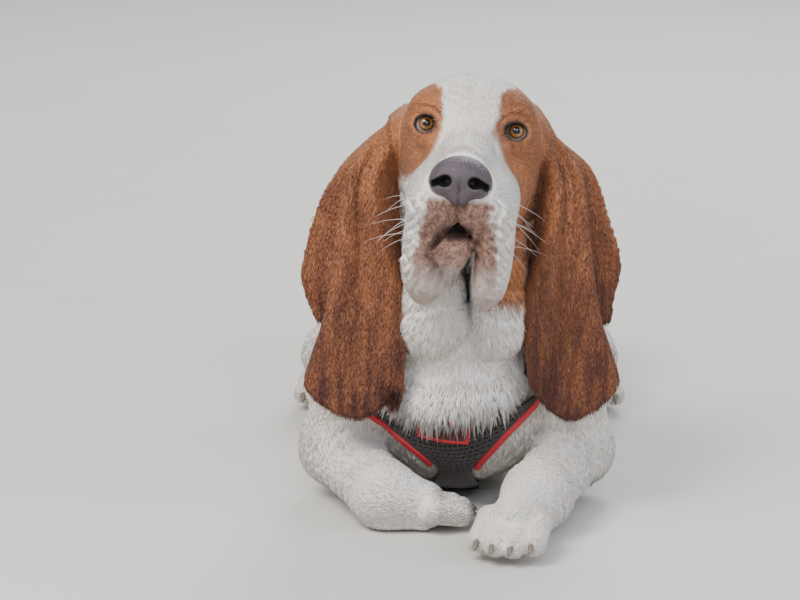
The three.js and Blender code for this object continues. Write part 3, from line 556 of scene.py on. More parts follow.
def skin_field(p):
    """The whole skin: body, folds, mouth, ears and the openings of the eyes."""
    d = body(p)
    face = ease(24, 6, head(p))
    depth = COAT_DEPTH["body"] + (COAT_DEPTH["face"] - COAT_DEPTH["body"]) * face
    depth = depth + (COAT_DEPTH["face"] - depth) * ease(16, 4, to_feet(p))
    near = np.abs(d) < 16
    d = d + depth
    d[near] -= folds(p[near])
    d = smooth_max(d, -mouth_hollow(p), 2.5)
    d = joined(d, p, LIMB_BLEND, ear_roots)
    for s, ear in zip(SIDES, ears):
        flap, along, _ = ear.near(p)
        d = smooth_min(d, flap, 1.2 + 13 * ease(0.26, 0.05, along))
    x, f, u = in_head(p)
    for s in SIDES:
        from_eye = np.linalg.norm(p - EYE_CENTRES[s], axis=1)
        near = from_eye < 40
        if not near.any():
            continue
        e = from_eye[near]
        ex, ef, eu = x[near] - s * EYE_X, f[near], u[near]
        lid = smooth_min(d[near], e - EYE_R - LID, 4.5)
        # The lower lid hangs, so the opening is deeper below the middle of the eye
        high = np.where(eu < 0, OPENING[1] + 0.8, OPENING[1] - 0.5)
        r = np.hypot(ex / OPENING[0], eu / high)
        opening = (r - 1) * np.minimum(OPENING[0], high)
        opening = np.maximum(opening, -7 - ef)
        lid = smooth_max(lid, -opening, 1.4)
        d[near] = np.maximum(lid, EYE_R + 0.35 - e)
    return smooth_max(d, FLOOR_CLEAR - p[:, 2], 2.0)


def surface_net(values, marks):
    """Points and four-sided faces where gridded values change sign."""
    inside = values < 0
    n = np.array(values.shape) - 1
    corners = [(c & 1, (c >> 1) & 1, (c >> 2) & 1) for c in range(8)]
    count = np.zeros(n, np.int8)
    for a, b, c in corners:
        count += inside[a : n[0] + a, b : n[1] + b, c : n[2] + c]
    active = (count > 0) & (count < 8)
    cells = np.argwhere(active)
    number = np.full(active.shape, -1, np.int64)
    number[active] = np.arange(len(cells))
    at = [values[tuple((cells + corner).T)] for corner in corners]
    total = np.zeros((len(cells), 3))
    hits = np.zeros(len(cells))
    for c, corner in enumerate(corners):
        for axis in range(3):
            if corner[axis]:
                continue
            other = at[c | (1 << axis)]
            crosses = (at[c] < 0) != (other < 0)
            t = np.where(crosses, at[c] / np.where(crosses, at[c] - other, 1), 0)
            place = np.tile(np.array(corner, float), (len(cells), 1))
            place[:, axis] += t
            total += place * crosses[:, None]
            hits += crosses
    share = total / hits[:, None]
    points = np.empty_like(share)
    for axis in range(3):
        low = marks[axis][cells[:, axis]]
        points[:, axis] = low + share[:, axis] * (marks[axis][cells[:, axis] + 1] - low)
    faces = []
    for axis in range(3):
        u, v = (axis + 1) % 3, (axis + 2) % 3
        low = [slice(None)] * 3
        high = [slice(None)] * 3
        low[axis], high[axis] = slice(0, -1), slice(1, None)
        edges = np.argwhere(inside[tuple(low)] != inside[tuple(high)])
        edges = edges[(edges[:, u] > 0) & (edges[:, v] > 0)]
        ring = []
        for du, dv in ((0, 0), (1, 0), (1, 1), (0, 1)):
            cell = edges.copy()
            cell[:, u] -= du
            cell[:, v] -= dv
            ring.append(number[tuple(cell.T)])
        ring = np.stack(ring, axis=1)
        flip = ~inside[tuple(edges.T)]
        ring[flip] = ring[flip][:, ::-1]
        faces.append(ring)
    return points, np.concatenate(faces)


def ruler(low, high, side):
    """Grid lines from low to high, each as far on as side says at the last one."""
    marks = [low]
    while marks[-1] < high:
        marks.append(marks[-1] + side(marks[-1]))
    return np.array(marks)


COARSE = 3


def banded_values(field, marks):
    """The field on a grid, worked out only near its surface."""
    n = [len(m) for m in marks]
    picks = [np.unique(np.append(np.arange(0, k, COARSE), k - 1)) for k in n]
    coarse_marks = [m[p] for m, p in zip(marks, picks)]
    grid = np.stack(np.meshgrid(*coarse_marks, indexing="ij"), axis=-1)
    coarse = field(grid.reshape(-1, 3)).reshape(grid.shape[:3])
    limit = 1.25 * math.sqrt(sum(np.diff(m).max() ** 2 for m in coarse_marks))
    close = np.abs(coarse) < limit
    cells = np.zeros([len(m) - 1 for m in coarse_marks], bool)
    for a in (0, 1):
        for b in (0, 1):
            for c in (0, 1):
                end = [a + cells.shape[0], b + cells.shape[1], c + cells.shape[2]]
                cells |= close[a : end[0], b : end[1], c : end[2]]
    owner = [
        np.minimum(np.searchsorted(pick, np.arange(k), "right") - 1, len(pick) - 2)
        for pick, k in zip(picks, n)
    ]
    chosen = cells[np.ix_(*owner)]
    values = np.where(coarse[np.ix_(*owner)] < 0, -FAR, FAR)
    where = np.argwhere(chosen)
    points = np.stack([marks[axis][where[:, axis]] for axis in range(3)], axis=1)
    values[tuple(where.T)] = field(points)
    return values


def settle(points, field):
    """Moves points on to the surface of the field."""
    h = 0.4
    for _ in range(2):
        here = field(points)
        slope = np.stack([(field(points + h * axis) - here) / h for axis in np.eye(3)], axis=1)
        step = here / np.maximum((slope**2).sum(axis=1), 0.3)
        points = points - slope * np.clip(step, -1.2, 1.2)[:, None]
    return points


# Meshes and materials


def new_mesh(name, points, faces):
    """A smooth mesh object from design millimetres and an array or a list of faces."""
    even = isinstance(faces, np.ndarray)
    sides = np.full(len(faces), faces.shape[1]) if even else np.array([len(face) for face in faces])
    corners = faces.ravel() if even else np.concatenate(faces)
    mesh = bpy.data.meshes.new(name)
    mesh.vertices.add(len(points))
    mesh.vertices.foreach_set("co", to_frame(np.asarray(points)).astype(np.float32).ravel())
    mesh.loops.add(len(corners))
    mesh.loops.foreach_set("vertex_index", corners.astype(np.int32))
    mesh.polygons.add(len(faces))
    mesh.polygons.foreach_set("loop_start", (np.cumsum(sides) - sides).astype(np.int32))
    mesh.polygons.foreach_set("use_smooth", np.full(len(faces), True))
    mesh.update(calc_edges=True)
    mesh.validate()
    piece = bpy.data.objects.new(name, mesh)
    bpy.context.scene.collection.objects.link(piece)
    return piece


def faces_out(piece, weld=0.0):
    """Turns every face outwards, after welding points that lie closer than the distance given."""
    mesh = bmesh.new()
    mesh.from_mesh(piece.data)
    if weld:
        bmesh.ops.remove_doubles(mesh, verts=mesh.verts, dist=weld)
    bmesh.ops.recalc_face_normals(mesh, faces=mesh.faces)
    mesh.to_mesh(piece.data)
    mesh.free()
    return piece


def finish_piece(piece, material, slot, *nodes):
    """Gives the piece its material, and puts it on the dog in place of its nodes; the slot is not used."""
    piece.data.materials.append(material)
    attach(piece, BODY)
    if nodes:
        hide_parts(*nodes)
    return piece


def new_material(name, **settings):
    material = bpy.data.materials.new(name)
    material.use_nodes = True
    shader = material.node_tree.nodes["Principled BSDF"]
    for socket, value in settings.items():
        shader.inputs[socket.replace("_", " ")].default_value = value
    return material, material.node_tree, shader


def feed(tree, node, values):
    """Links each named input to a socket, or sets it where the value is a plain one."""
    for name, value in values.items():
        if isinstance(value, bpy.types.NodeSocket):
            tree.links.new(value, node.inputs[name])
        else:
            node.inputs[name].default_value = value


def add(tree, kind, values=None, **settings):
    """A node with its settings and links."""
    node = tree.nodes.new(kind)
    for key, value in settings.items():
        setattr(node, key, value)
    feed(tree, node, values or {})
    return node


def mottled(tree, spacing, detail, colour, other):
    """Two colours that wander into each other over so many millimetres: place, pattern, colour."""
    place = add(tree, "ShaderNodeTexCoord").outputs["Object"]
    noise = add(
        tree, "ShaderNodeTexNoise", {"Vector": place, "Scale": 1 / (spacing * MM), "Detail": detail}
    )
    mixed = add(tree, "ShaderNodeMix", {0: noise.outputs[0], 6: colour, 7: other}, data_type="RGBA")
    return place, noise.outputs[0], mixed.outputs[2]


def store(piece, name, values, kind="FLOAT"):
    """Keeps a number or a colour for each of the piece's points."""
    attribute = piece.data.attributes.new(name, kind, "POINT")
    key = "value" if kind == "FLOAT" else "color"
    attribute.data.foreach_set(key, np.ascontiguousarray(values, np.float32).ravel())


# Markings: what colour the hair is at each place, the same for skin and coat


def wavering(p, spacing, seed=0.0):
    """A soft irregular wave from -1 to 1, for borders that aren't straight."""
    q = p * (2 * math.pi / spacing)
    a = np.sin(q[:, 0] + 1.7 * np.sin(q[:, 1] * 0.7 + seed) + seed)
    b = np.sin(q[:, 1] * 1.1 + 1.5 * np.sin(q[:, 2] * 0.8) + 2 * seed)
    c = np.sin(q[:, 2] * 0.9 + 1.9 * np.sin(q[:, 0] * 0.6 + seed))
    return (a + b + c) / 3


def markings(p):
    """Tan, dark and bare, each from 0 to 1, and how far down an ear the point is."""
    x, f, u = in_head(p)
    wobble = 3.0 * wavering(p, 34) + 1.5 * wavering(p, 11, 2)
    # The blaze: narrow between the eyes, wider over the brow, narrow again to the nape
    half = 21.5 + 16 * ease(24, 42, u) * ease(-60, -20, f) - 7 * ease(-30, -80, f)
    blaze = ease(-2, 2, np.abs(x + 2) - half - wobble)
    top = ease(-52, -40, u + wobble)
    cheek_right = ease(-50, -38, u + wobble)
    cheek_left = ease(-150, -136, u + wobble) * ease(30, 18, f + 0.10 * u + wobble) * ease(-110, -95, f)
    side = np.where(x < 0, cheek_right, cheek_left)
    behind = ease(-128, -114, f + wobble)
    ahead_of_eye = ease(22, 12, f - 0.2 * u + wobble)
    tan = blaze * np.maximum(top * ahead_of_eye, side * ease(30, 18, f)) * behind
    on_head = ease(26, 14, head(p))
    tan = tan * np.where((x > 20) & (f > -110) & (u > -150), 1.0, on_head)
    ear_down = np.zeros(len(p))
    for ear in ears:
        flap, along, _ = ear.near(p, 18.0)
        spread = 11 * ease(0.22, 0.05, along)
        on_ear = ease(4.5 + spread, 1.5 + spread, flap) * (flap < FAR / 2)
        tan = np.maximum(tan, on_ear)
        ear_down = np.maximum(ear_down, on_ear * along)
    # Saddle patches over the back, the rump and the root of the tail
    y, z = p[:, 1], p[:, 2]
    saddle = np.hypot((y - 262 + 14 * wavering(p, 110, 1)) / 62, (p[:, 0] - 18) / 88)
    rump = np.hypot((y - 448 + 10 * wavering(p, 80, 2)) / 60, (p[:, 0] + 12) / 82)
    reach = z + 24 * wavering(p, 95, 3) + 5 * wavering(p, 24, 1)
    patch = ease(1.06, 0.95, saddle + 0.08 * wavering(p, 30)) * ease(96, 112, reach)
    patch = np.maximum(patch, ease(1.06, 0.95, rump + 0.08 * wavering(p, 34)) * ease(90, 106, reach))
    tail_band = ease(500, 516, y + 5 * wavering(p, 20)) * ease(572, 556, y + 5 * wavering(p, 20))
    tan = np.maximum(tan, np.maximum(patch * (1 - on_head), tail_band) * ease(96, 110, y))
    # Bare skin: the lips, the bridge behind the nose, the lower lip and the rims of the eyes
    lip_half = 27 + 0.17 * np.clip(-68 - u, 0, 80) + 3 * wavering(p, 17, 4) + 2 * wavering(p, 6, 1)
    lips = ease(48, 66, f) * ease(-58, -66, u) * ease(3.5, -3.5, np.abs(x) - lip_half)
    lips = lips * (1 - 0.35 * ease(-104, -136, u + 5 * wavering(p, 12)))
    lip_edge = ease(20, 44, f) * ease(-128, -140, u + 3 * wavering(p, 9)) * 0.8
    bridge = 0.75 * bump_at(x, 17) * bump_at(f - 82, 11) * ease(-50, -38, u)
    bare = np.maximum(np.maximum(lips, lip_edge), bridge) * on_head
    rims = np.zeros(len(p))
    for s in SIDES:
        r = np.hypot((x - s * EYE_X) / OPENING[0], u / OPENING[1])
        rims = np.maximum(rims, ease(1.30, 1.10, r) * ease(-16, -8, f))
    rims = np.maximum(rims, ease(0.5, -1.5, nose_form(p)))
    tan = tan * (1 - 0.9 * np.maximum(lips, 0))
    return tan, rims, np.maximum(bare, 0), ear_down


def keep_markings(piece, marks):
    tan, rims, bare, ear_down = marks
    colours = np.stack([tan, rims, bare, ear_down], axis=1)
    store(piece, "markings", colours, "FLOAT_COLOR")


def marked_colour(tree, colours):
    """White, tan, darkening ears, bare lips and dark rims, mixed by the markings."""
    marks = add(tree, "ShaderNodeAttribute", attribute_name="markings")
    parts = add(tree, "ShaderNodeSeparateColor", {"Color": marks.outputs["Color"]})
    place = add(tree, "ShaderNodeTexCoord").outputs["Object"]
    # Shade wanders over 40 mm, and single locks differ over 2.5 mm
    broad = add(tree, "ShaderNodeTexNoise", {"Vector": place, "Scale": 1 / (40 * MM), "Detail": 3.0})
    fine = add(tree, "ShaderNodeTexNoise", {"Vector": place, "Scale": 1 / (2.5 * MM), "Detail": 2.0})
    # Dark streaks run down the ear flaps, 9 mm apart and stretched along them
    stretch = add(tree, "ShaderNodeMapping", {"Vector": place, "Scale": (1, 1, 0.16)})
    streaks = add(
        tree, "ShaderNodeTexNoise",
        {"Vector": stretch.outputs[0], "Scale": 1 / (9 * MM), "Detail": 4.0},
    )
    broad, fine, streaks = broad.outputs[0], fine.outputs[0], streaks.outputs[0]
    down_ear = marks.outputs["Alpha"]
    # Each share is a pattern's range and the range that it's spread to
    shares = {
        "stained": (broad, 0.45, 0.75, 0, 0.4),
        "ticked": (fine, 0.62, 0.72, 0, 0.12),
        "light": (fine, 0.3, 0.7, 0, 1),
        "deep": (broad, 0.5, 0.72, 0, 0.5),
        "dark": (down_ear, 0.1, 0.95, 0.15, 0.8),
        "on_flap": (down_ear, 0.02, 0.06, 0, 1),
        "streaked": (streaks, 0.38, 0.64, 0.65, 1.3),
        "pink": (fine, 0.35, 0.65, 0, 1),
    }
    for name, (pattern, low, high, to_low, to_high) in shares.items():
        limits = {"From Min": low, "From Max": high, "To Min": to_low, "To Max": to_high}
        spread = add(tree, "ShaderNodeMapRange", {"Value": pattern, **limits})
        shares[name] = spread.outputs[0]
    for name in ("on_flap", "streaked"):
        product = {0: shares["dark"], 1: shares[name]}
        shares["dark"] = add(tree, "ShaderNodeMath", product, operation="MULTIPLY").outputs[0]
    shares.update(tan=parts.outputs[0], rim=parts.outputs[1], bare=parts.outputs[2])
    # Each layer is laid over the one before by its share
    layers = [
        ("white", "stained", rgba(colours.white), rgba(colours.stain)),
        ("white", "ticked", "white", rgba(colours.ticking)),
        ("tan", "light", rgba(colours.tan), rgba(colours.tan_light)),
        ("tan", "deep", "tan", rgba(colours.ear_dark)),
        ("tan", "dark", "tan", rgba(colours.ear_dark)),
        ("lip", "pink", rgba(colours.lip), rgba(colours.lip_pink)),
        ("coat", "tan", "white", "tan"),
        ("coat", "bare", "coat", "lip"),
        ("coat", "rim", "coat", rgba(colours.rim)),
    ]
    done = {}
    for name, share, under, over in layers:
        values = {0: shares[share], 6: done.get(under, under), 7: done.get(over, over)}
        done[name] = add(tree, "ShaderNodeMix", values, data_type="RGBA").outputs[2]
    return done["coat"], place


def coat_material(name, colours, bump_mm):
    """Short smooth hair, about 10 mm long on the body: matt from the side, with a faint silky sheen."""
    material, tree, shader = new_material(
        name, Roughness=0.62, IOR=1.5, Sheen_Weight=0.12, Sheen_Roughness=0.45,
        Subsurface_Weight=0.04, Subsurface_Radius=(0.004, 0.002, 0.001),
    )
    colour, place = marked_colour(tree, colours)
    # Single hairs are 0.08 mm; they are drawn as 0.9 mm streaks so that they show
    lie = add(tree, "ShaderNodeMapping", {"Vector": place, "Scale": (1, 0.55, 0.3)})
    hairs = add(
        tree, "ShaderNodeTexNoise",
        {"Vector": lie.outputs[0], "Scale": 1 / (0.9 * MM), "Detail": 3.0, "Roughness": 0.7},
    )
    bump = add(
        tree, "ShaderNodeBump",
        {"Height": hairs.outputs[0], "Distance": bump_mm * MM, "Strength": 0.7},
    )
    feed(tree, shader, {"Base Color": colour, "Normal": bump.outputs[0]})
    return material


# Harness places

shoulders = [limb(leg[0], leg[1], 38, 28) for leg in FORELEGS]


def dressed(p):
    """The trunk, neck and shoulders, which the harness lies on; the forearms lie over it."""
    return joined(smooth_min(trunk(p), throat(p), NECK_BLEND), p, LIMB_BLEND, shoulders)


def slope_at(p):
    h = 0.5
    return np.stack([(dressed(p + h * a) - dressed(p - h * a)) / (2 * h) for a in np.eye(3)], axis=1)


def drop_to(p, level):
    """Points moved straight on to a level of the dressed field."""
    for _ in range(6):
        slope = slope_at(p)
        p = p + slope * ((level - dressed(p)) / np.maximum((slope**2).sum(axis=1), 0.25))[:, None]
    return p


CLOTH = 3.6
SKIN_GAP = 1.4
OUTSIDE = SKIN_GAP + CLOTH
SEAM = 1.5
TRIM_W = 6.5
TRIM_RISE = 0.6
BAND_W = 20
PANEL_TOP = 3 / 7
NECKLINE_DIP = 0.16
GIRTH_Y = 152
GIRTH_W = 26
STERNUM_W = 40
STERNUM_FRONT = 28  # where it joins the point of the chest panel
STERNUM_X = -2
BELLY_HALF = 24
GAP = 0.3
MESH_CELL = (5.0, 4.4)
MESH_HOLE = (3.3, 2.4)
FACE_DEPTH = 1.3  # of the holed layer
NARROWEST = 0.4  # a cell of the mesh that is cut narrower than this is left out
ROUNDED = 8  # how sharply a strap's edges round off
EDGES = {
    -1: [(-18, -72, 36), (-29, -78, 48), (-45, -74, 64), (-82, -42, 100),
         (-98, -6, 140), (-90, 45, 182), (-62, 92, 214), (-30, 118, 226)],
    1: [(13, -72, 36), (20, -78, 48), (38, -74, 76), (64, -50, 104),
        (88, -8, 140), (88, 45, 182), (62, 92, 214), (30, 118, 226)],
}
# The right binding goes out of sight under the forearm before it reaches the point of the chest
BINDING_FROM = {-1: 0.06, 1: 0.02}
BACK = {"front": 128, "rear": 172, "half": 27, "z": 236}


def band_beside(line, start, end, near, far):
    """Points of a band beside a line on the body, by place across and along."""

    def at(s, t):
        u = start + (end - start) * t
        here = drop_to(spline(line, u), 0)
        along = spline(line, np.minimum(u + 0.01, 1)) - spline(line, np.maximum(u - 0.01, 0))
        side = unit(np.cross(slope_at(here), along))
        return here + side * (near + (far - near) * s)[:, None]

    return at


def draped_grid(at, ns, nt, level):
    """A grid of points on the body; the level may depend on the place across."""
    s, t = np.meshgrid(np.linspace(0, 1, ns + 1), np.linspace(0, 1, nt + 1), indexing="ij")
    s, t = s.ravel(), t.ravel()
    wanted = level(s, t) if callable(level) else np.full(len(s), float(level))
    points = drop_to(at(s, t), wanted)
    points[:, 2] = np.maximum(points[:, 2], 0.1)
    return points.reshape(ns + 1, nt + 1, 3)


def grid_faces(ns, nt, base=0, flip=False):
    corner = (np.arange(ns)[:, None] * (nt + 1) + np.arange(nt)).ravel() + base
    ring = np.stack([corner, corner + nt + 1, corner + nt + 2, corner + 1], axis=1)
    return ring[:, ::-1] if flip else ring


def rim_faces(ns, nt, top, under):
    """Faces that close two grids along their four edges."""
    index = np.arange((ns + 1) * (nt + 1)).reshape(ns + 1, nt + 1)
    loop = np.concatenate([index[:-1, 0], index[-1, :-1], index[:0:-1, -1], index[0, :0:-1]])
    after = np.roll(loop, -1)
    return np.stack([loop + top, loop + under, after + under, after + top], axis=1)


def closed_sheet(name, outer, inner):
    """A sheet of cloth between two grids of points."""
    ns, nt = outer.shape[0] - 1, outer.shape[1] - 1
    count = (ns + 1) * (nt + 1)
    faces = np.concatenate(
        [grid_faces(ns, nt), grid_faces(ns, nt, count, True), rim_faces(ns, nt, 0, count)]
    )
    points = np.concatenate([outer.reshape(-1, 3), inner.reshape(-1, 3)])
    piece = faces_out(new_mesh(name, points, faces))
    across = np.linalg.norm(np.diff(outer, axis=0), axis=2).mean(axis=1)
    along = np.linalg.norm(np.diff(outer, axis=1), axis=2).mean(axis=0)
    u = np.concatenate([[0], np.cumsum(across)])
    v = np.concatenate([[0], np.cumsum(along)])
    uu, vv = np.meshgrid(u, v, indexing="ij")
    store(piece, "across", np.tile(uu.ravel(), 2) * MM)
    store(piece, "along", np.tile(vv.ravel(), 2) * MM)
    return piece


def strap_levels(inner, outer):
    """Webbing with rounded selvedges: the outer face sinks towards both edges."""
    return lambda s, t: outer - (outer - inner) * 0.55 * np.abs(2 * s - 1) ** ROUNDED


def holed_cloth(name, top_at, width_at, height, cell, hole):
    """Air mesh: staggered oval holes through a layer, on a flat cut that is draped by top_at.

    top_at(x, y, depth) places points of the flat cut; width_at(y) is the cut's half width.
    """
    rows = math.ceil(height / cell[1])
    steps = [i / 4 for i in range(4)]
    outline = [(i, 0) for i in steps] + [(1, i) for i in steps]
    outline = np.array(outline + [(1 - i, 1) for i in steps] + [(0, 1 - i) for i in steps])
    angle = np.arctan2(outline[:, 1] - 0.5, outline[:, 0] - 0.5)
    oval = np.stack([np.cos(angle) * hole[0] / 2, np.sin(angle) * hole[1] / 2], axis=1)
    n = len(outline)
    i = np.arange(n)
    j = (i + 1) % n
    base = 0
    flat_points, depths, faces = [], [], []
    for row in range(rows):
        y0 = row * cell[1]
        widest = max(width_at(min(y0, height)), width_at(min(y0 + cell[1], height)))
        shift = cell[0] / 2 if row % 2 else 0
        for column in range(math.ceil(2 * widest / cell[0]) + 2):
            x0 = -widest - cell[0] + shift + column * cell[0]
            edge = outline * np.array(cell) + (x0, y0)
            edge[:, 1] = np.minimum(edge[:, 1], height)
            half = np.array([width_at(y) for y in edge[:, 1]])
            held = np.clip(edge[:, 0], -half, half)
            if np.ptp(held) < NARROWEST:
                continue
            whole = np.abs(held - edge[:, 0]).max() < 1e-6 and y0 + cell[1] <= height
            edge[:, 0] = held
            faces.append(np.stack([i, j, j + n, i + n], axis=1) + base)
            depths.append(np.zeros(2 * n))
            if whole:
                ring = oval + (x0 + cell[0] / 2, y0 + cell[1] / 2)
                flat_points += [edge, ring, ring]
                depths.append(np.full(n, FACE_DEPTH))
                faces.append(np.stack([i + n, j + n, j + 2 * n, i + 2 * n], axis=1) + base)
            else:
                flat_points += [edge, np.repeat(edge.mean(axis=0)[None], n, axis=0)]
            base += 3 * n if whole else 2 * n
    flat = np.concatenate(flat_points)
    points = top_at(flat[:, 0], flat[:, 1], np.concatenate(depths))
    return faces_out(new_mesh(name, points, np.concatenate(faces)), 0.05 * MM)


# Materials of the harness


def mesh_cloth_material(name, clean, dusty):
    """Polyester spacer mesh, knitted and heat-set: dull black, with oval holes and a faint knit."""
    material, tree, shader = new_material(
        name, Roughness=0.72, IOR=1.5, Sheen_Weight=0.2, Sheen_Roughness=0.5
    )
    place, _, colour = mottled(tree, 14, 4.0, rgba(clean), rgba(dusty))
    # Knitted loops are 0.7 mm apart; they are drawn 1.1 mm apart so that they show
    knit = add(tree, "ShaderNodeTexVoronoi", {"Vector": place, "Scale": 1 / (1.1 * MM)})
    bump = add(tree, "ShaderNodeBump", {"Height": knit.outputs[0], "Distance": 0.25 * MM, "Strength": 0.8})
    feed(tree, shader, {"Base Color": colour, "Normal": bump.outputs[0]})
    return material


def webbing_material(name, colour, worn):
    """Polyester webbing, woven flat: ribs across it every 1.4 mm, satin where the yarns float."""
    material, tree, shader = new_material(
        name, Roughness=0.55, IOR=1.5, Sheen_Weight=0.08, Sheen_Roughness=0.4
    )
    along = add(tree, "ShaderNodeAttribute", attribute_name="along")
    across = add(tree, "ShaderNodeAttribute", attribute_name="across")
    flat = add(tree, "ShaderNodeCombineXYZ", {"X": along.outputs["Fac"], "Y": across.outputs["Fac"]})
    waves = []
    for direction, spacing, distortion in (("X", 1.4, 0.6), ("Y", 0.9, 0.4)):
        values = {
            "Vector": flat.outputs[0], "Scale": 0.5 / (spacing * MM) / math.pi, "Distortion": distortion,
        }
        waves.append(add(tree, "ShaderNodeTexWave", values, bands_direction=direction).outputs["Fac"])
    both = add(tree, "ShaderNodeMath", {0: waves[0], 1: waves[1]}, operation="MULTIPLY")
    _, _, shade = mottled(tree, 18, 5.0, rgba(colour), rgba(worn))
    bump = add(tree, "ShaderNodeBump", {"Height": both.outputs[0], "Distance": 0.3 * MM, "Strength": 0.7})
    feed(tree, shader, {"Base Color": shade, "Normal": bump.outputs[0]})
    return material


# Settings that a user would change


def swatch(name, description, hex_colour):
    """A colour that the user can change."""
    return FloatVectorProperty(
        name=name, description=description, subtype="COLOR", size=3, min=0, max=1,
        default=linear(hex_colour),
    )


class CoatColours(bpy.types.PropertyGroup):
    """Colours of the coat, the skin and the eyes."""

    white: swatch("White hair", "White of the blaze, chest and legs", "EFEAE4")
    stain: swatch("Stained hair", "Faint yellow-grey where white hair is soiled", "DCD0C2")
    ticking: swatch("Ticking", "Grey flecks in the white", "9A938E")
    tan: swatch("Tan hair", "Red-brown patches", "A5633A")
    tan_light: swatch("Light tan hair", "Paler hairs in the patches", "B87848")
    ear_dark: swatch("Dark ear hair", "Dark streaks and tips of the ears", "55291F")
    lip: swatch("Lip", "Brown-grey bare lip", "5C4034")
    lip_pink: swatch("Pink lip", "Pink parts of the lips and the bridge of the nose", "8F6C5C")
    rim: swatch("Eye rim", "Dark bare rim of the lids", "241612")
    nose: swatch("Nose leather", "Dark grey-purple of the nose", "5E545B")
    iris: swatch("Iris", "Amber brown of the eye", "A86F3A")
    sclera: swatch("White of the eye", "Bloodshot white round the iris", "A8958A")
    claw: swatch("Claw", "Horn of the claws", "8A7A6C")


class HarnessColours(bpy.types.PropertyGroup):
    """Colours of the harness."""

    mesh: swatch("Mesh cloth", "Black air mesh", "1F1B1C")
    # The backing is the mesh's real lower layer; its colour, darker than the face cloth's, is painted shade
    # in the holes
    backing: swatch("Mesh backing", "Backing seen through the holes of the mesh", "0B0A0C")
    mesh_worn: swatch("Dusty mesh cloth", "Air mesh where dust has settled", "342D2D")
    red: swatch("Red webbing", "Binding and straps", "A5121E")
    red_worn: swatch("Faded red webbing", "Webbing where it has rubbed", "BC2A33")
    field: swatch("Label field", "Dark bare field of the label", "4A1416")
    plastic: swatch("Buckle", "Black moulded plastic", "18181A")
    steel: swatch("Ring", "Nickel-plated steel", "C4C2BE")


class CoatSizes(bpy.types.PropertyGroup):
    """Sizes and numbers of the tufts."""

    body_length: FloatProperty(
        name="Body tuft length", description="Length of a tuft on the trunk",
        default=0.0105, min=0.004, max=0.03, unit="LENGTH", subtype="DISTANCE",
    )
    face_length: FloatProperty(
        name="Face tuft length", description="Length of a tuft on the face and the feet",
        default=0.0055, min=0.002, max=0.012, unit="LENGTH", subtype="DISTANCE",
    )
    tufts: IntProperty(
        name="Tufts", description="Number of tufts over the whole dog", default=250000, min=1000,
    )
    fine_side: FloatProperty(
        name="Finest side", description="Side of the boxes that the face is drawn on",
        default=0.0018, min=0.001, max=0.006, unit="LENGTH", subtype="DISTANCE",
    )
    seed: IntProperty(name="Seed", description="Seed of the coat's random draws", default=7, min=0)


made = {}


class BASSET_OT_skin(bpy.types.Operator):
    """Makes one seamless skin with folds, lids and ears"""

    bl_idname = "basset.skin"
    bl_label = "Skin"

    def execute(self, context):
        sizes = context.scene.basset_sizes
        fine = sizes.fine_side / MM
        marks = [
            ruler(-154, 182, lambda x: fine if abs(x) < 62 else fine * 1.45),
            ruler(-240, 642, lambda y: fine * 1.1 if y < -40 else fine * (1.45 if y < 50 else 2.3)),
            ruler(-3, 394, lambda z: fine if 196 < z < 362 else fine * (1.45 if z > 60 else 1.7)),
        ]
        values = banded_values(skin_field, marks)
        points, faces = surface_net(values, marks)
        points = settle(points, skin_field)
        points[:, 2] = np.maximum(points[:, 2], FLOOR_CLEAR * 0.8)
        skin = new_mesh("basset_skin", points, faces)
        keep_markings(skin, markings(points))
        unwrap(skin)
        material = coat_material("short_coat_on_skin", context.scene.basset_coat, 0.5)
        finish_piece(skin, material, "white_coat", *FLESH)
        made["skin"] = skin
        return {"FINISHED"}


ISLAND_ANGLE = math.radians(66)  # the flat map is parted where the skin turns by more
ISLAND_MARGIN = 0.001


def unwrap(skin):
    """Lays the skin's own surface out flat, as the map that the tufts' patches lie on."""
    mesh = skin.data
    mesh.uv_layers.new(name="OFBake")
    for other in bpy.context.selected_objects:
        other.select_set(False)
    bpy.context.view_layer.objects.active = skin
    skin.select_set(True)
    bpy.ops.object.mode_set(mode="EDIT")
    bpy.ops.mesh.select_all(action="SELECT")
    bpy.ops.uv.smart_project(angle_limit=ISLAND_ANGLE, island_margin=ISLAND_MARGIN)
    bpy.ops.object.mode_set(mode="OBJECT")


# Coat: the way the hair lies, and tufts along it


def on_flap(ear, p):
    """1 on the surface of an ear's flap, 0 away from it."""
    flap, _, _ = ear.near(p, 9.0)
    return ease(5, 2, flap) * (flap < FAR / 2)


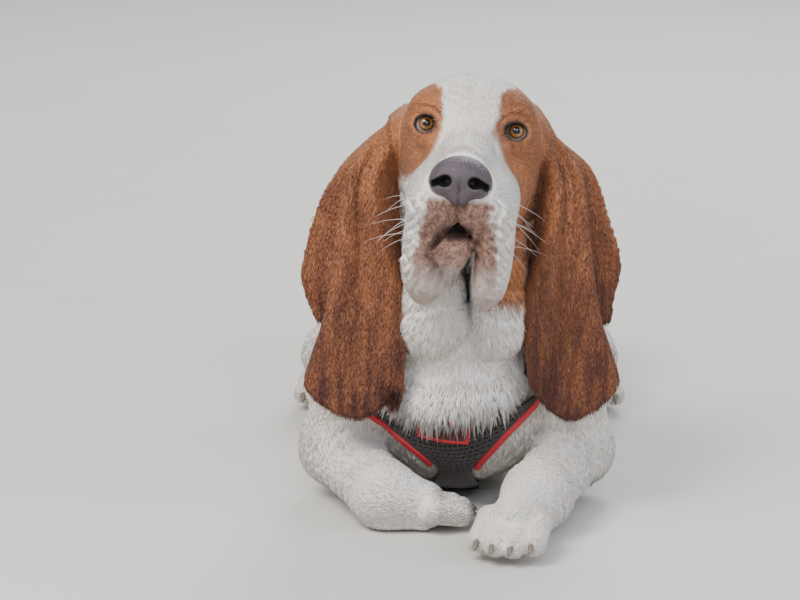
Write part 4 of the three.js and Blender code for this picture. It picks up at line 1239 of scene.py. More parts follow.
def lie_of_coat(p, normals):
    """Unit directions in the skin's surface along which the hair lies."""
    x, _, u = in_head(p)
    s = np.sign(x)[:, None]
    crown = -FORWARD * 0.85 + UP * 0.1
    bridge = -FORWARD * 0.7 + UP * 0.25 + s * LEFT * 0.35
    flank = -FORWARD * 0.5 - UP * 0.8 + s * LEFT * 0.1
    on_top = ease(-30, 0, u)[:, None]
    lips = ease(-50, -90, u)[:, None]
    face = crown * on_top + (bridge * (1 - lips) + flank * lips) * (1 - on_top)
    total = face * np.exp(-np.clip(head(p) / 9, -3, 20))[:, None]
    chest = vec(0, 0.25, -1) + (p - vec(5, 0, 0)) * vec(0.006, 0, 0)
    total += chest * np.exp(-np.clip(throat(p) / 9, -3, 20))[:, None]
    front = ease(20, -30, p[:, 1])[:, None]
    side = ease(0.2, 0.9, np.abs(normals[:, 0]))[:, None]
    back = vec(0, 1, -0.15) * (1 - side) + vec(0, 0.72, -0.7) * side
    along_trunk = vec(0, 0.3, -1) * front + back * (1 - front)
    total += along_trunk * np.exp(-np.clip(trunk(p) / 9, -3, 20))[:, None]
    bones = [(TAIL[i], TAIL[i + 1], TAIL_R[i]) for i in range(len(TAIL) - 1)]
    for leg in FORELEGS:
        bones += [(leg[0], leg[1], 38), (leg[1], leg[2], 30), (leg[2], leg[3], 25), (leg[3], leg[4], 24)]
    for leg in HINDLEGS:
        bones += [(vec(leg[0][0] * 0.8, 400, 120), leg[0], 50), (leg[0], leg[1], 34)]
        bones += [(leg[1], leg[2], 20), (leg[2], leg[3], 20)]
    for a, b, radius in bones:
        axis = b - a
        t = np.clip((p - a) @ axis / (axis @ axis), 0, 1)
        away = np.linalg.norm(p - a - t[:, None] * axis, axis=1) - radius
        total += unit(axis) * np.exp(-np.clip(away / 7, -2, 20))[:, None]
    for ear in ears:
        on_ear = on_flap(ear, p)[:, None]
        total = total * (1 - on_ear) + vec(0, -0.1, -1) * on_ear
    total -= normals * (total * normals).sum(axis=1)[:, None]
    return unit(total)


# A tuft is a keeled sliver: two points at its root, one on its crest and one at its tip
TUFT_SHAPE = np.array([(0, 2, 1), (0, 1, 3), (1, 2, 3), (2, 0, 3)])
PATCH = 0.003
TUFT_UV = PATCH * np.array([(-0.5, -0.5), (0.5, -0.5), (0, 0), (0, 0.5)])
TUFTS_IN_PIECE = 40000
TUFT_SINK = 0.5  # how deep the root lies in the skin
TUFT_BEND = 0.10  # sideways, as a share of the length
TUFT_TURN = 0.09  # away from the lie of its neighbours
SLIMMER_ON_FACE = 0.45


def tuft_mesh(name, roots, normals, lie, length, width, rise, uv, marks, rng):
    """Thin closed tapering tufts that leave the skin and lie along it."""
    side = np.cross(normals, lie)
    bend = rng.normal(0, TUFT_BEND, len(roots))[:, None]
    low = roots - normals * TUFT_SINK
    crest = roots + lie * (length * 0.4)[:, None] + normals * (rise + width * 0.3)[:, None]
    tip = roots + (lie + side * bend) * length[:, None] + normals * rise[:, None]
    half = side * (width / 2)[:, None]
    points = np.stack([low - half, low + half, crest, tip], axis=1).reshape(-1, 3)
    points[:, 2] = np.maximum(points[:, 2], 0.15)
    faces = (TUFT_SHAPE[None] + 4 * np.arange(len(roots))[:, None, None]).reshape(-1, 3)
    piece = new_mesh(name, points, faces)
    layer = piece.data.uv_layers.new(name="OFBake")
    at_points = (uv[:, None] + TUFT_UV[None]).reshape(-1, 2)
    layer.data.foreach_set("uv", at_points[faces.ravel()].astype(np.float32).ravel())
    keep_markings(piece, [np.repeat(m, 4) for m in marks])
    return piece


def each_of(items, key, width=1, kind=np.float32):
    """One value of each item of a mesh, as an array."""
    values = np.empty(len(items) * width, kind)
    items.foreach_get(key, values)
    return values.reshape(-1, width) if width > 1 else values


def skin_samples(skin, weight, count, rng):
    """Evenly spread random places on the skin: point, normal and place on its flat map."""
    mesh = skin.data
    loops = each_of(mesh.loops, "vertex_index", kind=np.int32)
    co = each_of(mesh.vertices, "co", 3).astype(float) / MM + vec(0, FLOOR_MIDDLE, 0)
    normals = each_of(mesh.vertex_normals, "vector", 3).astype(float)
    uv = each_of(mesh.uv_layers["OFBake"].data, "uv", 2)
    starts = each_of(mesh.polygons, "loop_start", kind=np.int32)
    starts = starts[each_of(mesh.polygons, "loop_total", kind=np.int32) == 4]
    quads = loops[starts[:, None] + np.arange(4)]
    a, b, c, d = (co[quads[:, i]] for i in range(4))
    area = np.linalg.norm(np.cross(c - a, d - b), axis=1) / 2
    share = area * weight((a + b + c + d) / 4)
    edges = np.cumsum(share)
    picks = (np.arange(count) + rng.random(count)) / count * edges[-1]
    face = np.minimum(np.searchsorted(edges, picks), len(quads) - 1)
    s, t = rng.random((2, count))
    w = np.stack([(1 - s) * (1 - t), s * (1 - t), s * t, (1 - s) * t], axis=1)[..., None]
    corner = quads[face]
    place = (co[corner] * w).sum(axis=1)
    normal = unit((normals[corner] * w).sum(axis=1))
    on_map = (uv[starts[face][:, None] + np.arange(4)] * w).sum(axis=1)
    return place, normal, on_map


def smallness(p):
    """On the face, the feet and the ears: 1 where the hair is shortest, 0 on the trunk."""
    _, f, _ = in_head(p)
    face = ease(10, 0, head(p)) * ease(-110, -70, f)
    feet = ease(12, 2, to_feet(p))
    flaps = np.maximum(*[on_flap(ear, p) for ear in ears])
    return face, feet, flaps


# The bib of longer hair falls over the neckline of the harness
BIB = {"x": -8, "low": 92, "rise": 7.2, "middle_rise": 2.6, "growth": 1.6}


class BASSET_OT_coat(bpy.types.Operator):
    """Grows thin tufts of short hair over the whole skin"""

    bl_idname = "basset.coat"
    bl_label = "Coat"

    def execute(self, context):
        sizes = context.scene.basset_sizes
        rng = np.random.default_rng(sizes.seed)

        def weight(p):
            face, feet, flaps = smallness(p)
            under = ease(4, 14, p[:, 2]) * 0.85 + 0.15
            bib = bump_at(p[:, 0] - BIB["x"], 52) * bump_at(p[:, 2] - 104, 14) * ease(-40, -55, p[:, 1])
            return (1 + 3.2 * face + 2.2 * feet + 1.6 * flaps + 2.5 * bib) * under

        count = sizes.tufts // 1
        place, normal, on_map = skin_samples(made["skin"], weight, count, rng)
        face, feet, flaps = smallness(place)
        small = np.maximum(np.maximum(face, feet), flaps * 0.8)
        body_length, face_length = sizes.body_length / MM, sizes.face_length / MM
        length = body_length + (face_length - body_length) * small
        length *= rng.uniform(0.7, 1.25, count)
        width = (1.15 - SLIMMER_ON_FACE * small) * rng.uniform(0.8, 1.2, count)
        rise = (0.75 - 0.4 * small) * rng.uniform(0.6, 1.5, count)
        aside = np.abs(place[:, 0] - BIB["x"])
        low = BIB["low"] + 0.006 * aside**2
        bib = ease(low, low + 5, place[:, 2]) * ease(low + 24, low + 10, place[:, 2])
        bib = bib * ease(-40, -55, place[:, 1]) * ease(56, 46, aside)
        length *= 1 + BIB["growth"] * bib * rng.uniform(0.25, 1, count)
        lift = BIB["rise"] + BIB["middle_rise"] * ease(32, 24, aside)
        rise += lift * bib * rng.uniform(0.97, 1.15, count)
        width *= 1 - 0.25 * bib
        lie = lie_of_coat(place, normal)
        lie = unit(lie + np.cross(normal, lie) * rng.normal(0, TUFT_TURN, count)[:, None])
        marks = markings(place)
        # Bare lips, nose bridge, rims and the insides of the folds grow no tufts
        hairy = (marks[2] < 0.35) & (marks[1] < 0.2)
        from_eye = np.minimum(*[np.linalg.norm(place - EYE_CENTRES[s], axis=1) for s in SIDES])
        hairy &= (from_eye > EYE_R + 2.4) & (nose_form(place) > 2.0)
        # In a hollow a tuft is shorter, and where a wall faces it closely it is left out
        ahead = place + lie * length[:, None] + normal * rise[:, None]
        dips = np.flatnonzero(skin_field(ahead) < -0.2)
        length[dips] *= 0.5
        rise[dips] += 0.15
        ahead = place + lie * length[:, None] + normal * rise[:, None]
        hairy[dips] &= skin_field(ahead[dips]) > -0.5
        kept = np.flatnonzero(hairy)
        order = kept[np.argsort(place[kept, 1], kind="stable")]
        material = coat_material("short_hair_tufts", context.scene.basset_coat, 0.15)
        for number, start in enumerate(range(0, len(order), TUFTS_IN_PIECE)):
            part = order[start : start + TUFTS_IN_PIECE]
            of_each = [a[part] for a in (place, normal, lie, length, width, rise, on_map)]
            name = f"coat_{number + 1:02d}"
            piece = tuft_mesh(name, *of_each, [m[part] for m in marks], rng)
            finish_piece(piece, material, "white_coat")
        return {"FINISHED"}


# Eyes, nose, claws and whiskers

GAZE = unit(vec(0.02, -0.94, 0.30))
PUPIL_R = 2.9
IRIS_R = 6.2
EYE_RINGS, EYE_SPOKES = 48, 64
CORNEA = 0.62  # radians from the gaze to the edge of the bulge
CORNEA_RISE = 0.75


def off_at(radius):
    """Where a circle of that radius round the gaze lies, from 0 at the pupil to 1 at the side."""
    return math.asin(radius / EYE_R) / (math.pi / 2)


def eye_material(colours):
    """A wet eyeball: black pupil, amber iris with fine spokes, dark limbus and bloodshot white."""
    material, tree, shader = new_material(
        "wet_eyeball", Roughness=0.12, IOR=1.38, Coat_Weight=1.0, Coat_IOR=1.38, Coat_Roughness=0.01
    )
    off = add(tree, "ShaderNodeAttribute", attribute_name="off_gaze").outputs["Fac"]
    turn = add(tree, "ShaderNodeAttribute", attribute_name="round_gaze").outputs["Fac"]
    spokes_at = add(tree, "ShaderNodeCombineXYZ", {"X": turn, "Y": off})
    stretched = add(tree, "ShaderNodeMapping", {"Vector": spokes_at.outputs[0], "Scale": (9, 120, 1)})
    spokes = add(tree, "ShaderNodeTexNoise", {"Vector": stretched.outputs[0], "Scale": 1.0, "Detail": 3.0})
    ramp = add(tree, "ShaderNodeValToRGB", {"Fac": off})
    pupil = rgba(linear("0D1014"))
    stops = [
        (0.0, pupil),
        (off_at(PUPIL_R), pupil),
        (off_at(PUPIL_R + 0.4), rgba(colours.iris, 0.5)),
        (off_at(PUPIL_R + 1.6), rgba(colours.iris)),
        (off_at(IRIS_R - 0.8), rgba(colours.iris, 0.6)),
        (off_at(IRIS_R), rgba(linear("1D1614"))),
        (off_at(IRIS_R + 0.5), rgba(colours.sclera, 0.6)),
        (off_at(IRIS_R + 1.6), rgba(colours.sclera)),
        (1.0, rgba(linear("955950"))),
    ]
    elements = ramp.color_ramp.elements
    for element, (position, colour) in zip(elements, (stops[0], stops[-1])):
        element.position = position
        element.color = colour
    for position, colour in stops[1:-1]:
        elements.new(position).color = colour
    shade = add(
        tree, "ShaderNodeMapRange",
        {"Value": spokes.outputs[0], "From Min": 0.3, "From Max": 0.7, "To Min": 0.72, "To Max": 1.22},
    )
    both = {0: ramp.outputs[0], 1: shade.outputs[0]}
    colour = add(tree, "ShaderNodeVectorMath", both, operation="MULTIPLY")
    feed(tree, shader, {"Base Color": colour.outputs[0]})
    return material


class BASSET_OT_eyes(bpy.types.Operator):
    """Makes both eyeballs with a bulging cornea"""

    bl_idname = "basset.eyes"
    bl_label = "Eyes"

    def execute(self, context):
        material = eye_material(context.scene.basset_coat)
        side = unit(np.cross(GAZE, vec(0, 0, 1)))
        top = np.cross(side, GAZE)
        for s in SIDES:
            points, off, turn, faces = [], [], [], []
            for ring in range(1, EYE_RINGS):
                polar = math.pi * (ring / EYE_RINGS) ** 1.25
                bulge = CORNEA_RISE * math.cos(polar / CORNEA * math.pi / 2) if polar < CORNEA else 0
                for spoke in range(EYE_SPOKES):
                    a = 2 * math.pi * spoke / EYE_SPOKES
                    out = (side * math.cos(a) + top * math.sin(a)) * math.sin(polar)
                    ray = GAZE * math.cos(polar) + out
                    points.append(EYE_CENTRES[s] + ray * (EYE_R - CORNEA_RISE + bulge))
                    off.append(polar / (math.pi / 2))
                    turn.append(abs(a / math.pi - 1))
            last = len(points)
            points += [EYE_CENTRES[s] + GAZE * EYE_R, EYE_CENTRES[s] - GAZE * (EYE_R - CORNEA_RISE)]
            off += [0, 2]
            turn += [0, 0]
            around = [(i, (i + 1) % EYE_SPOKES) for i in range(EYE_SPOKES)]
            for base in range(0, last - EYE_SPOKES, EYE_SPOKES):
                after = base + EYE_SPOKES
                faces += [(base + i, after + i, after + j, base + j) for i, j in around]
            base = last - EYE_SPOKES
            faces += [(last, i, j) for i, j in around]
            faces += [(last + 1, base + j, base + i) for i, j in around]
            piece = new_mesh(f"{SIDE_NAME[s]}_eyeball", points, faces)
            store(piece, "off_gaze", off)
            store(piece, "round_gaze", turn)
            finish_piece(faces_out(piece), material, "eye", f"{SIDE_NAME[s]}_eye")
        return {"FINISHED"}


nostrils = [
    blend(
        3,
        head_limb((s * 10.5, 134, -50), (s * 11.5, 116, -49), 4.6, 4.4),
        head_limb((s * 11.5, 122, -49), (s * 20, 112, -50), 4.2, 2.6),
        head_limb((s * 19, 124, -51), (s * 24, 104, -54), 2.2, 1.6),
    )
    for s in SIDES
]


def nose_field(p):
    x, _, u = in_head(p)
    d = nose_form(p) + 0.4 + 1.5 * bump_at(x, 1.4) * ease(-44, -54, u)
    for hole in nostrils:
        d = smooth_max(d, -hole(p), 2.0)
    return d


NOSE_MIDDLE = head_point(0, 104, -47)
NOSE_BOX = 36  # half the side of the box that the nose is drawn in
NOSE_STEP = 1.1


def nose_material(colours):
    """Bare skin of the nose: moist, and cobbled into plates about 1.3 mm across, with painted shade deep in
    the nostrils.
    """
    material, tree, shader = new_material("nose_leather", IOR=1.42)
    place, _, colour = mottled(tree, 12, 3.0, rgba(colours.nose), rgba(colours.nose, 0.45))
    plates = add(tree, "ShaderNodeTexVoronoi", {"Vector": place, "Scale": 1 / (1.3 * MM)})
    inside = add(tree, "ShaderNodeAttribute", attribute_name="inside").outputs["Fac"]
    # Painted shade: the deeper a point lies in a nostril or the middle groove, the nearer its colour runs to
    # black; the same depth also makes it rougher
    depth = {0: inside, 6: colour, 7: rgba(linear("070505"))}
    dark = add(tree, "ShaderNodeMix", depth, data_type="RGBA")
    dull = add(tree, "ShaderNodeMapRange", {"Value": inside, "To Min": 0.4, "To Max": 1.0})
    cobbles = {"Height": plates.outputs[0], "Distance": 0.5 * MM, "Strength": 1.0}
    bump = add(tree, "ShaderNodeBump", cobbles, invert=True)
    feed(tree, shader, {
        "Base Color": dark.outputs[2], "Roughness": dull.outputs[0], "Normal": bump.outputs[0],
    })
    return material


class BASSET_OT_nose(bpy.types.Operator):
    """Makes the nose leather with its comma-shaped nostrils"""

    bl_idname = "basset.nose"
    bl_label = "Nose"

    def execute(self, context):
        marks = [ruler(c - NOSE_BOX, c + NOSE_BOX, lambda _: NOSE_STEP) for c in NOSE_MIDDLE]
        values = nose_field(np.stack(np.meshgrid(*marks, indexing="ij"), axis=-1).reshape(-1, 3))
        points, faces = surface_net(values.reshape([len(m) for m in marks]), marks)
        points = settle(points, nose_field)
        nose = new_mesh("nose_leather", points, faces)
        # How deep each point lies in a nostril or the middle groove, which the nose leather turns into
        # painted shade
        store(nose, "inside", ease(1.2, 3.0, -nose_form(points)))
        finish_piece(nose, nose_material(context.scene.basset_coat), "nose_leather", "nose")
        return {"FINISHED"}


def spike(points, radii, sides):
    """A closed tapering spike along points, ending in a tip."""
    points = np.asarray(points)
    verts, faces = [], []
    for i in range(len(points) - 1):
        ahead = unit(points[i + 1] - points[i])
        side = unit(np.cross(ahead, vec(0.1, 0.2, 1)))
        up = np.cross(side, ahead)
        for j in range(sides):
            a = 2 * math.pi * j / sides
            verts.append(points[i] + (side * math.cos(a) + up * math.sin(a)) * radii[i])
    tip = len(verts)
    verts.append(points[-1])
    for i in range(len(points) - 2):
        for j in range(sides):
            a, b = i * sides + j, i * sides + (j + 1) % sides
            faces.append((a, b, b + sides, a + sides))
    base = (len(points) - 2) * sides
    faces += [(base + j, base + (j + 1) % sides, tip) for j in range(sides)]
    faces.append(tuple(range(sides))[::-1])
    return verts, faces


def joined_spikes(name, spikes):
    verts, faces = [], []
    for more_verts, more_faces in spikes:
        base = len(verts)
        verts += more_verts
        faces += [tuple(i + base for i in face) for face in more_faces]
    return faces_out(new_mesh(name, verts, faces))


CLAW = {"length": 12.0, "radius": 3.3, "drop": 0.5, "sunk": 5, "lowest": 1.2}
WHISKER_R = 0.28
WHISKER_STEPS = 8


class BASSET_OT_claws(bpy.types.Operator):
    """Makes the claws of all four feet and the whiskers"""

    bl_idname = "basset.claws"
    bl_label = "Claws and whiskers"

    def execute(self, context):
        colours = context.scene.basset_coat
        steps = np.linspace(0, 1, 7)
        radii = [CLAW["radius"] * (1 - t) ** 0.4 for t in steps]
        claws = []
        for legs, width in ((FORELEGS, PAW_W), (HINDLEGS, HIND_PAW_W)):
            for leg in legs:
                for _, tip, ahead, radius in toes_of(leg, width):
                    root = tip + ahead * (radius - CLAW["sunk"]) + vec(0, 0, 1.5)
                    path = []
                    for t in steps:
                        q = root + CLAW["length"] * (ahead * t - vec(0, 0, CLAW["drop"] * t * t))
                        path.append(vec(q[0], q[1], max(q[2], CLAW["lowest"])))
                    claws.append(spike(path, radii, 8))
        finish_piece(joined_spikes("claws", claws), claw_material(colours), "white_coat")
        finish_piece(whiskers(), whisker_material(colours), "white_coat")
        return {"FINISHED"}


def claw_material(colours):
    """Horn of the claws: smooth and slightly streaked."""
    material, tree, shader = new_material("claw_horn", Roughness=0.38, IOR=1.54)
    _, _, colour = mottled(tree, 1.6, 3.0, rgba(colours.claw), rgba(colours.claw, 0.5))
    feed(tree, shader, {"Base Color": colour})
    return material


def whiskers():
    """Stiff white hairs from the sides of the muzzle."""
    rng = np.random.default_rng(11)
    radii = [WHISKER_R * (1 - t * 0.85) for t in np.linspace(0, 1, WHISKER_STEPS)]
    inward = np.linspace(0, 1, 60)[:, None]
    hairs = []
    for s in SIDES:
        for row in range(3):
            for column in range(3):
                x, f, u = s * 60, 42 + column * 15, -60 - row * 14 - rng.uniform(0, 9)
                ray = head_point(x, f, u) + inward * (head_point(0, f, u) - head_point(x, f, u))
                root = ray[int(np.argmax(body(ray) < -1))]
                aim = unit(s * LEFT * 0.95 + FORWARD * rng.uniform(-0.5, 0.25) - UP * rng.uniform(-0.1, 0.8))
                length = rng.uniform(20, 40)
                along = np.linspace(-0.05, 1, WHISKER_STEPS)
                path = [root + aim * length * t - vec(0, 0, 7 * t * t) for t in along]
                hairs.append(spike(path, radii, 3))
    return joined_spikes("whiskers", hairs)


def whisker_material(colours):
    """Stiff whisker hair: white keratin, smooth and a little shiny."""
    material, tree, shader = new_material("whisker_hair", Roughness=0.35, IOR=1.55)
    _, _, colour = mottled(tree, 9, 2.0, rgba(colours.white), rgba(colours.stain))
    feed(tree, shader, {"Base Color": colour})
    return material


# Harness


def front_line(t):
    """Left and right ends of the front panel's cut at each height."""
    return spline(EDGES[-1], t), spline(EDGES[1], t)


def front_at(s, t):
    dip = 1 - NECKLINE_DIP * (1 - (2 * s - 1) ** 2)
    u = t * PANEL_TOP * dip
    start, end = front_line(u)
    inset = SEAM / np.maximum(np.linalg.norm(end - start, axis=1), 1)
    share = inset + (1 - 2 * inset) * s
    return start + (end - start) * share[:, None]


def sampler(grid):
    """Smooth look-up in a grid of points by place across and along, each from 0 to 1."""
    ns, nt = grid.shape[0] - 1, grid.shape[1] - 1

    def at(s, t):
        a, b = np.clip(s, 0, 1) * ns, np.clip(t, 0, 1) * nt
        i, j = np.minimum(a.astype(int), ns - 1), np.minimum(b.astype(int), nt - 1)
        wa, wb = (a - i)[:, None], (b - j)[:, None]
        low = grid[i, j] * (1 - wa) + grid[i + 1, j] * wa
        high = grid[i, j + 1] * (1 - wa) + grid[i + 1, j + 1] * wa
        return low * (1 - wb) + high * wb

    return at


def air_mesh(name, at, ns, nt, node, cloths, flat, area=None):
    """Spacer mesh: a closed backing with a holed face layer on it."""
    material, painted_shade_backing_cloth = cloths
    outer = draped_grid(at, ns, nt, OUTSIDE - FACE_DEPTH - GAP)
    inner = draped_grid(at, ns, nt, SKIN_GAP)
    # The backing wears the darker backing cloth: painted shade seen through the holes of the face layer
    backing = closed_sheet(f"{name}_backing", outer, inner)
    finish_piece(backing, painted_shade_backing_cloth, "air_mesh", node)
    face_top = draped_grid(at, ns, nt, OUTSIDE)
    face_low = draped_grid(at, ns, nt, OUTSIDE - FACE_DEPTH)
    top_at, low_at = sampler(face_top), sampler(face_low)
    rows = np.linalg.norm(np.diff(face_top, axis=0), axis=2).sum(axis=0)
    height = float(np.linalg.norm(np.diff(face_top[ns // 2], axis=0), axis=1).sum())

    def width_at(y):
        return float(np.interp(y / height, np.linspace(0, 1, nt + 1), rows)) / 2

    def place(x, y, depth):
        half = np.array([max(width_at(v), 0.01) for v in y])
        s, t = 0.5 + x / (2 * half), y / height
        w = (depth / FACE_DEPTH)[:, None]
        return top_at(s, t) * (1 - w) + low_at(s, t) * w

    face = holed_cloth(f"{name}_face", place, width_at, height, MESH_CELL, MESH_HOLE)
    finish_piece(face, material, "air_mesh")


def strap(name, at, ns, nt, node, material, outer=OUTSIDE):
    """A length of webbing that lies on the skin."""
    top = draped_grid(at, ns, nt, strap_levels(SKIN_GAP, outer))
    under = draped_grid(at, ns, nt, SKIN_GAP)
    return finish_piece(closed_sheet(name, top, under), material, "red_webbing", node)


class BASSET_OT_harness(bpy.types.Operator):
    """Makes the mesh cloth, the red binding, the straps and the label, and gives the ring, its keeper and
    the buckle their finishes
    """

    bl_idname = "basset.harness"
    bl_label = "Harness"

    def execute(self, context):
        colours = context.scene.basset_harness
        face_cloth = mesh_cloth_material("polyester_air_mesh", colours.mesh, colours.mesh_worn)
        # The backing cloth is the face cloth made darker: painted shade in the holes of the mesh
        painted_shade_backing_cloth = mesh_cloth_material("polyester_mesh_backing_painted_shade", colours.backing, colours.mesh)
        mesh_cloth = (face_cloth, painted_shade_backing_cloth)
        red = webbing_material("red_polyester_webbing", colours.red, colours.red_worn)
        air_mesh("chest_mesh", front_at, 40, 32, "chest_panel", mesh_cloth, FLAT["chest"], AREA["chest"])
        for s in SIDES:
            side = SIDE_NAME[s]
            trim = band_beside(EDGES[s], BINDING_FROM[s], 1, 0, -s * TRIM_W)
            binding = strap(f"{side}_binding", trim, 6, 110, f"{side}_trim", red, OUTSIDE + TRIM_RISE)
            band = band_beside(EDGES[s], PANEL_TOP + 0.006, 0.99, s * SEAM, s * (BAND_W + SEAM))
            air_mesh(
                f"{side}_shoulder_mesh", band, 8, 60, f"{side}_shoulder_band", mesh_cloth,
                FLAT["band"],
            )
            girth = band_beside(girth_line(s), 0, 1, -GIRTH_W / 2, GIRTH_W / 2)
            piece = strap(f"{side}_girth", girth, 8, 80, f"{side}_girth_strap", red)

        def back_at(a, t):
            y = BACK["front"] + (BACK["rear"] - BACK["front"]) * t
            return np.stack([-BACK["half"] + 2 * BACK["half"] * a, y, np.full(len(a), BACK["z"])], axis=1)

        air_mesh("back_mesh", back_at, 16, 14, "back_panel", mesh_cloth, FLAT["back"])
        underside(face_cloth, red)
        label(colours)
        hardware(colours, red)
        return {"FINISHED"}


def girth_line(s):
    return [
        (s * (BACK["half"] + 2 * SEAM), GIRTH_Y, 234), (s * 72, GIRTH_Y, 206), (s * 102, GIRTH_Y, 150),
        (s * 104, GIRTH_Y, 90), (s * 88, GIRTH_Y, 36), (s * 62, GIRTH_Y, 6), (s * 30, GIRTH_Y, -12),
    ]


# Flat cuts, width by length in metres, measured along the straps of such a harness
FLAT = {
    "chest": (0.148, 0.072),
    "band": (0.020, 0.235),
    "girth": (0.026, 0.270),
    "back": (0.054, 0.044),
    "sternum": (0.040, 0.210),
    "belly": (0.026, 0.048),
    "label": (0.044, 0.019),
}
AREA = {"chest": 0.0044}


STRAP_COLUMNS = 8
STERNUM_TURN = 20.0  # from here back the breastbone strap lies flat on the floor
LOWEST = 0.1


def flat_block(low, high):
    """Top and bottom grids of a flat strap that lies on the floor."""
    across = np.linspace(low[0], high[0], STRAP_COLUMNS + 1)
    s, t = np.meshgrid(across, np.linspace(low[1], high[1], 25), indexing="ij")
    edge = np.abs(2 * (s - low[0]) / (high[0] - low[0]) - 1) ** ROUNDED
    top = np.stack([s, t, high[2] - 0.4 * (high[2] - low[2]) * edge], axis=-1)
    under = np.stack([s, t, np.full_like(s, low[2])], axis=-1)
    return top, under


def underside(mesh_cloth, red):
    """The strap along the breastbone and the one under the belly."""
    line = [(STERNUM_X, -70, 44), (STERNUM_X, -48, 22), (STERNUM_X, -10, 6), (STERNUM_X, 50, -6)]
    on_line = band_beside(line, 0, 1, 0, 1)

    def band(s, t):
        half = STERNUM_FRONT / 2 + (STERNUM_W - STERNUM_FRONT) / 2 * ease(0.15, 0.6, t)
        return on_line(np.zeros(len(s)), t) + vec(1, 0, 0) * ((2 * s - 1) * half)[:, None]

    top = draped_grid(band, STRAP_COLUMNS, 40, strap_levels(SKIN_GAP, OUTSIDE - 1.2))
    under = draped_grid(band, STRAP_COLUMNS, 40, SKIN_GAP)
    flat_from = top[STRAP_COLUMNS // 2, :, 1] >= STERNUM_TURN
    end = int(np.argmax(flat_from)) if flat_from.any() else top.shape[1]
    flat_top, flat_under = flat_block(
        (STERNUM_X - STERNUM_W / 2, STERNUM_TURN, LOWEST),
        (STERNUM_X + STERNUM_W / 2, GIRTH_Y - GIRTH_W / 2 - GAP, CLOTH),
    )
    if top[0, 0, 0] > top[-1, 0, 0]:
        top, under = top[::-1], under[::-1]
    top = np.concatenate([top[:, :end], flat_top], axis=1)
    under = np.concatenate([under[:, :end], flat_under], axis=1)
    top[..., 2] = np.maximum(top[..., 2], 3 * LOWEST)
    under[..., 2] = np.maximum(np.minimum(under[..., 2], top[..., 2] - 2 * LOWEST), LOWEST)
    sternum = closed_sheet("sternum_mesh", top, under)
    finish_piece(sternum, mesh_cloth, "air_mesh", "sternum_strap")
    corners = [(side * BELLY_HALF, GIRTH_Y + side * GIRTH_W / 2) for side in SIDES]
    belly = closed_sheet("belly_webbing", *flat_block((*corners[0], LOWEST), (*corners[1], CLOTH)))
    finish_piece(belly, red, "red_webbing", "belly_strap")


LABEL = {"x": -12, "y": -84, "z": 80, "wide": 44, "high": 19, "lean": math.radians(-5), "thick": 1.2}
LABEL_RIM = 2.6
LABEL_STEP = 0.7  # the frame stands this far above the field
LABEL_GRID = (66, 30)


def from_rim(s, t):
    """Distance to the nearest edge of the label."""
    return np.minimum(LABEL["wide"] * np.minimum(s, 1 - s), LABEL["high"] * np.minimum(t, 1 - t))


def label(colours):
    """A label woven of polyester: a raised red frame round a bare dark field, with fine ribs."""
    c, d = math.cos(LABEL["lean"]), math.sin(LABEL["lean"])
    back = OUTSIDE + 3 * GAP

    def at(s, t):
        x, z = (s - 0.5) * LABEL["wide"], (t - 0.5) * LABEL["high"]
        y = np.full(len(x), float(LABEL["y"]))
        return np.stack([LABEL["x"] + x * c - z * d, y, LABEL["z"] + x * d + z * c], axis=1)

    def level(s, t):
        framed = ease(LABEL_RIM + 0.5, LABEL_RIM, from_rim(s, t)) * LABEL_STEP
        return back + LABEL["thick"] - LABEL_STEP + framed

    ns, nt = LABEL_GRID
    piece = closed_sheet("label_patch", draped_grid(at, ns, nt, level), draped_grid(at, ns, nt, back))
    s, t = np.meshgrid(np.linspace(0, 1, ns + 1), np.linspace(0, 1, nt + 1), indexing="ij")
    inner = ease(LABEL_RIM, LABEL_RIM + 0.4, from_rim(s, t)).ravel()
    store(piece, "field", np.tile(inner, 2))
    material = webbing_material("woven_label", colours.red, colours.red_worn)
    tree = material.node_tree
    shader = tree.nodes["Principled BSDF"]
    woven = shader.inputs["Base Color"].links[0].from_socket
    field = add(tree, "ShaderNodeAttribute", attribute_name="field")
    framed = {0: field.outputs["Fac"], 6: woven, 7: rgba(colours.field)}
    mixed = add(tree, "ShaderNodeMix", framed, data_type="RGBA")
    feed(tree, shader, {"Base Color": mixed.outputs[2]})
    finish_piece(piece, material, "red_webbing", "label")


def hardware(colours, red):
    """Finishes of the ring, its keeper and the buckle, which keep their own shapes."""
    # Nickel-plated steel rod, polished: bright, with soft smears where it has rubbed
    steel, tree, shader = new_material("nickel_plated_steel", Metallic=1.0, Roughness=0.22)
    _, _, tone = mottled(tree, 2, 4.0, rgba(colours.steel), rgba(colours.steel, 0.7))
    feed(tree, shader, {"Base Color": tone})
    plastic, tree, shader = new_material("moulded_acetal", Roughness=0.38, IOR=1.48)
    # Moulded acetal: satin black; its spark-eroded grain of 0.4 mm is drawn at 0.8 mm so that it shows
    _, grain, tone = mottled(tree, 0.8, 2.0, rgba(colours.plastic), rgba(colours.plastic, 1.8))
    bump = add(tree, "ShaderNodeBump", {"Height": grain, "Distance": 0.05 * MM, "Strength": 0.5})
    feed(tree, shader, {"Base Color": tone, "Normal": bump.outputs[0]})
    for node, material in (("lead_ring", steel), ("buckle", plastic), ("ring_keeper", red)):
        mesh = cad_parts[node].data
        mesh.materials.clear()
        mesh.materials.append(material)


# Studio

SCALE_AT_FACE = 0.82  # millimetres for each pixel of the picture, at the eyes
CAMERA_AWAY = 3.0
CAMERA_ABOVE = 10.0  # degrees
FLOOR_HALF = 4.0
FLOOR_MOTTLE = 1000 / 3  # millimetres
PICTURE = (800, 600)
EYES_IN_PICTURE = (472, 128)


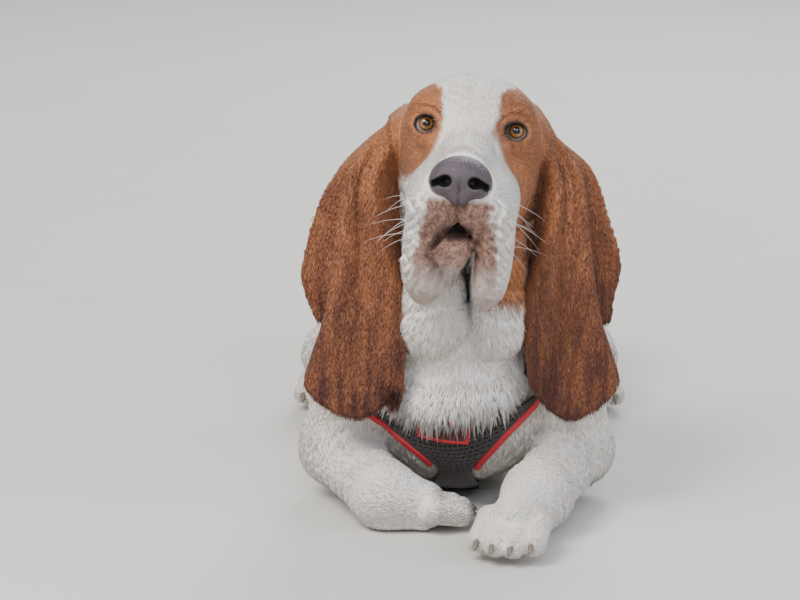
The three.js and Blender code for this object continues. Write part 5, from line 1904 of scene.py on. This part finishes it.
def area_light(name, place, aim, size, watts, colour=(1, 1, 1)):
    light = bpy.data.lights.new(name, "AREA")
    light.shape = "DISK"
    light.size = size
    light.energy = watts
    light.color = colour
    lamp = bpy.data.objects.new(name, light)
    lamp.location = place
    lamp.rotation_euler = (Vector(aim) - Vector(place)).to_track_quat("-Z", "Y").to_euler()
    bpy.context.scene.collection.objects.link(lamp)


class BASSET_OT_studio(bpy.types.Operator):
    """Makes the floor, the soft light and the camera"""

    bl_idname = "basset.studio"
    bl_label = "Studio"

    def execute(self, context):
        scene = context.scene
        corners = ((-1, -1), (1, -1), (1, 1), (-1, 1))
        points = [(x * FLOOR_HALF, y * FLOOR_HALF, 0) for x, y in corners]
        mesh = bpy.data.meshes.new("studio_floor")
        mesh.from_pydata(points, [], [(0, 1, 2, 3)])
        floor = bpy.data.objects.new("studio_floor", mesh)
        scene.collection.objects.link(floor)
        # Painted studio floor: matt, with a very faint mottle
        material, tree, shader = new_material("painted_floor", Roughness=0.8)
        _, _, tone = mottled(tree, FLOOR_MOTTLE, 3.0, rgba(linear("D6D4CF")), rgba(linear("DEDCD8")))
        feed(tree, shader, {"Base Color": tone})
        floor.data.materials.append(material)
        floor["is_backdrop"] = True

        world = bpy.data.worlds.new("studio_light")
        scene.world = world
        world.use_nodes = True
        sky = world.node_tree.nodes["Background"]
        feed(world.node_tree, sky, {"Color": rgba(linear("E4E8EC")), "Strength": 0.75})
        area_light("key_light", (-1.3, -2.0, 2.4), (0, -0.3, 0.2), 1.5, 95, linear("FFF8F0"))
        area_light("front_light", (0.4, -3.4, 2.2), (0, -0.3, 0.25), 1.2, 30, linear("DCE8FF"))
        area_light("fill_light", (2.2, -1.4, 1.5), (0, -0.2, 0.2), 1.8, 22, linear("EFF4FF"))
        area_light("rim_light", (0.6, 2.4, 2.2), (0, 0, 0.2), 1.5, 60)

        focal = CAMERA_AWAY * 1000 / SCALE_AT_FACE
        elevation = math.radians(CAMERA_ABOVE)
        eyes = Vector(to_frame(EYE_LINE))
        camera = bpy.data.cameras.new("camera")
        camera.sensor_width = 36
        camera.lens = focal / PICTURE[0] * camera.sensor_width
        camera.clip_start, camera.clip_end = 0.05, 100
        holder = bpy.data.objects.new("camera", camera)
        scene.collection.objects.link(holder)
        holder.location = eyes + CAMERA_AWAY * Vector((0, -math.cos(elevation), math.sin(elevation)))
        aside = math.atan((EYES_IN_PICTURE[0] - PICTURE[0] / 2) / focal)
        below = elevation + math.atan((PICTURE[1] / 2 - EYES_IN_PICTURE[1]) / focal)
        look = Vector(
            (-math.sin(aside) * math.cos(below), math.cos(aside) * math.cos(below), -math.sin(below))
        )
        holder.rotation_euler = look.to_track_quat("-Z", "Y").to_euler()
        scene.camera = holder
        return {"FINISHED"}


class BASSET_PT_panel(bpy.types.Panel):
    """Lists the pieces of the dog"""

    bl_idname = "BASSET_PT_panel"
    bl_label = "Basset hound"
    bl_space_type = "VIEW_3D"
    bl_region_type = "UI"
    bl_category = "Basset"

    def draw(self, context):
        for operator in OPERATORS:
            self.layout.operator(operator.bl_idname)
        scene = context.scene
        for group in (scene.basset_sizes, scene.basset_coat, scene.basset_harness):
            for name in group.__annotations__:
                self.layout.prop(group, name)


OPERATORS = [
    BASSET_OT_studio, BASSET_OT_skin, BASSET_OT_coat, BASSET_OT_eyes, BASSET_OT_nose,
    BASSET_OT_claws, BASSET_OT_harness,
]
CLASSES = [CoatColours, HarnessColours, CoatSizes, *OPERATORS, BASSET_PT_panel]


def register():
    for cls in CLASSES:
        bpy.utils.register_class(cls)
    bpy.types.Scene.basset_coat = PointerProperty(type=CoatColours)
    bpy.types.Scene.basset_harness = PointerProperty(type=HarnessColours)
    bpy.types.Scene.basset_sizes = PointerProperty(type=CoatSizes)


def unregister():
    del bpy.types.Scene.basset_sizes
    del bpy.types.Scene.basset_harness
    del bpy.types.Scene.basset_coat
    for cls in reversed(CLASSES):
        bpy.utils.unregister_class(cls)


def main():
    register()
    bpy.ops.basset.studio()
    bpy.ops.basset.skin()
    bpy.ops.basset.coat()
    bpy.ops.basset.eyes()
    bpy.ops.basset.nose()
    bpy.ops.basset.claws()
    bpy.ops.basset.harness()
    boxes = {"cad": CAD_BOX, "visual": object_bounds()}
    {name: [list(corner) for corner in box] for name, box in boxes.items()}


if __name__ == "__main__":
    main()
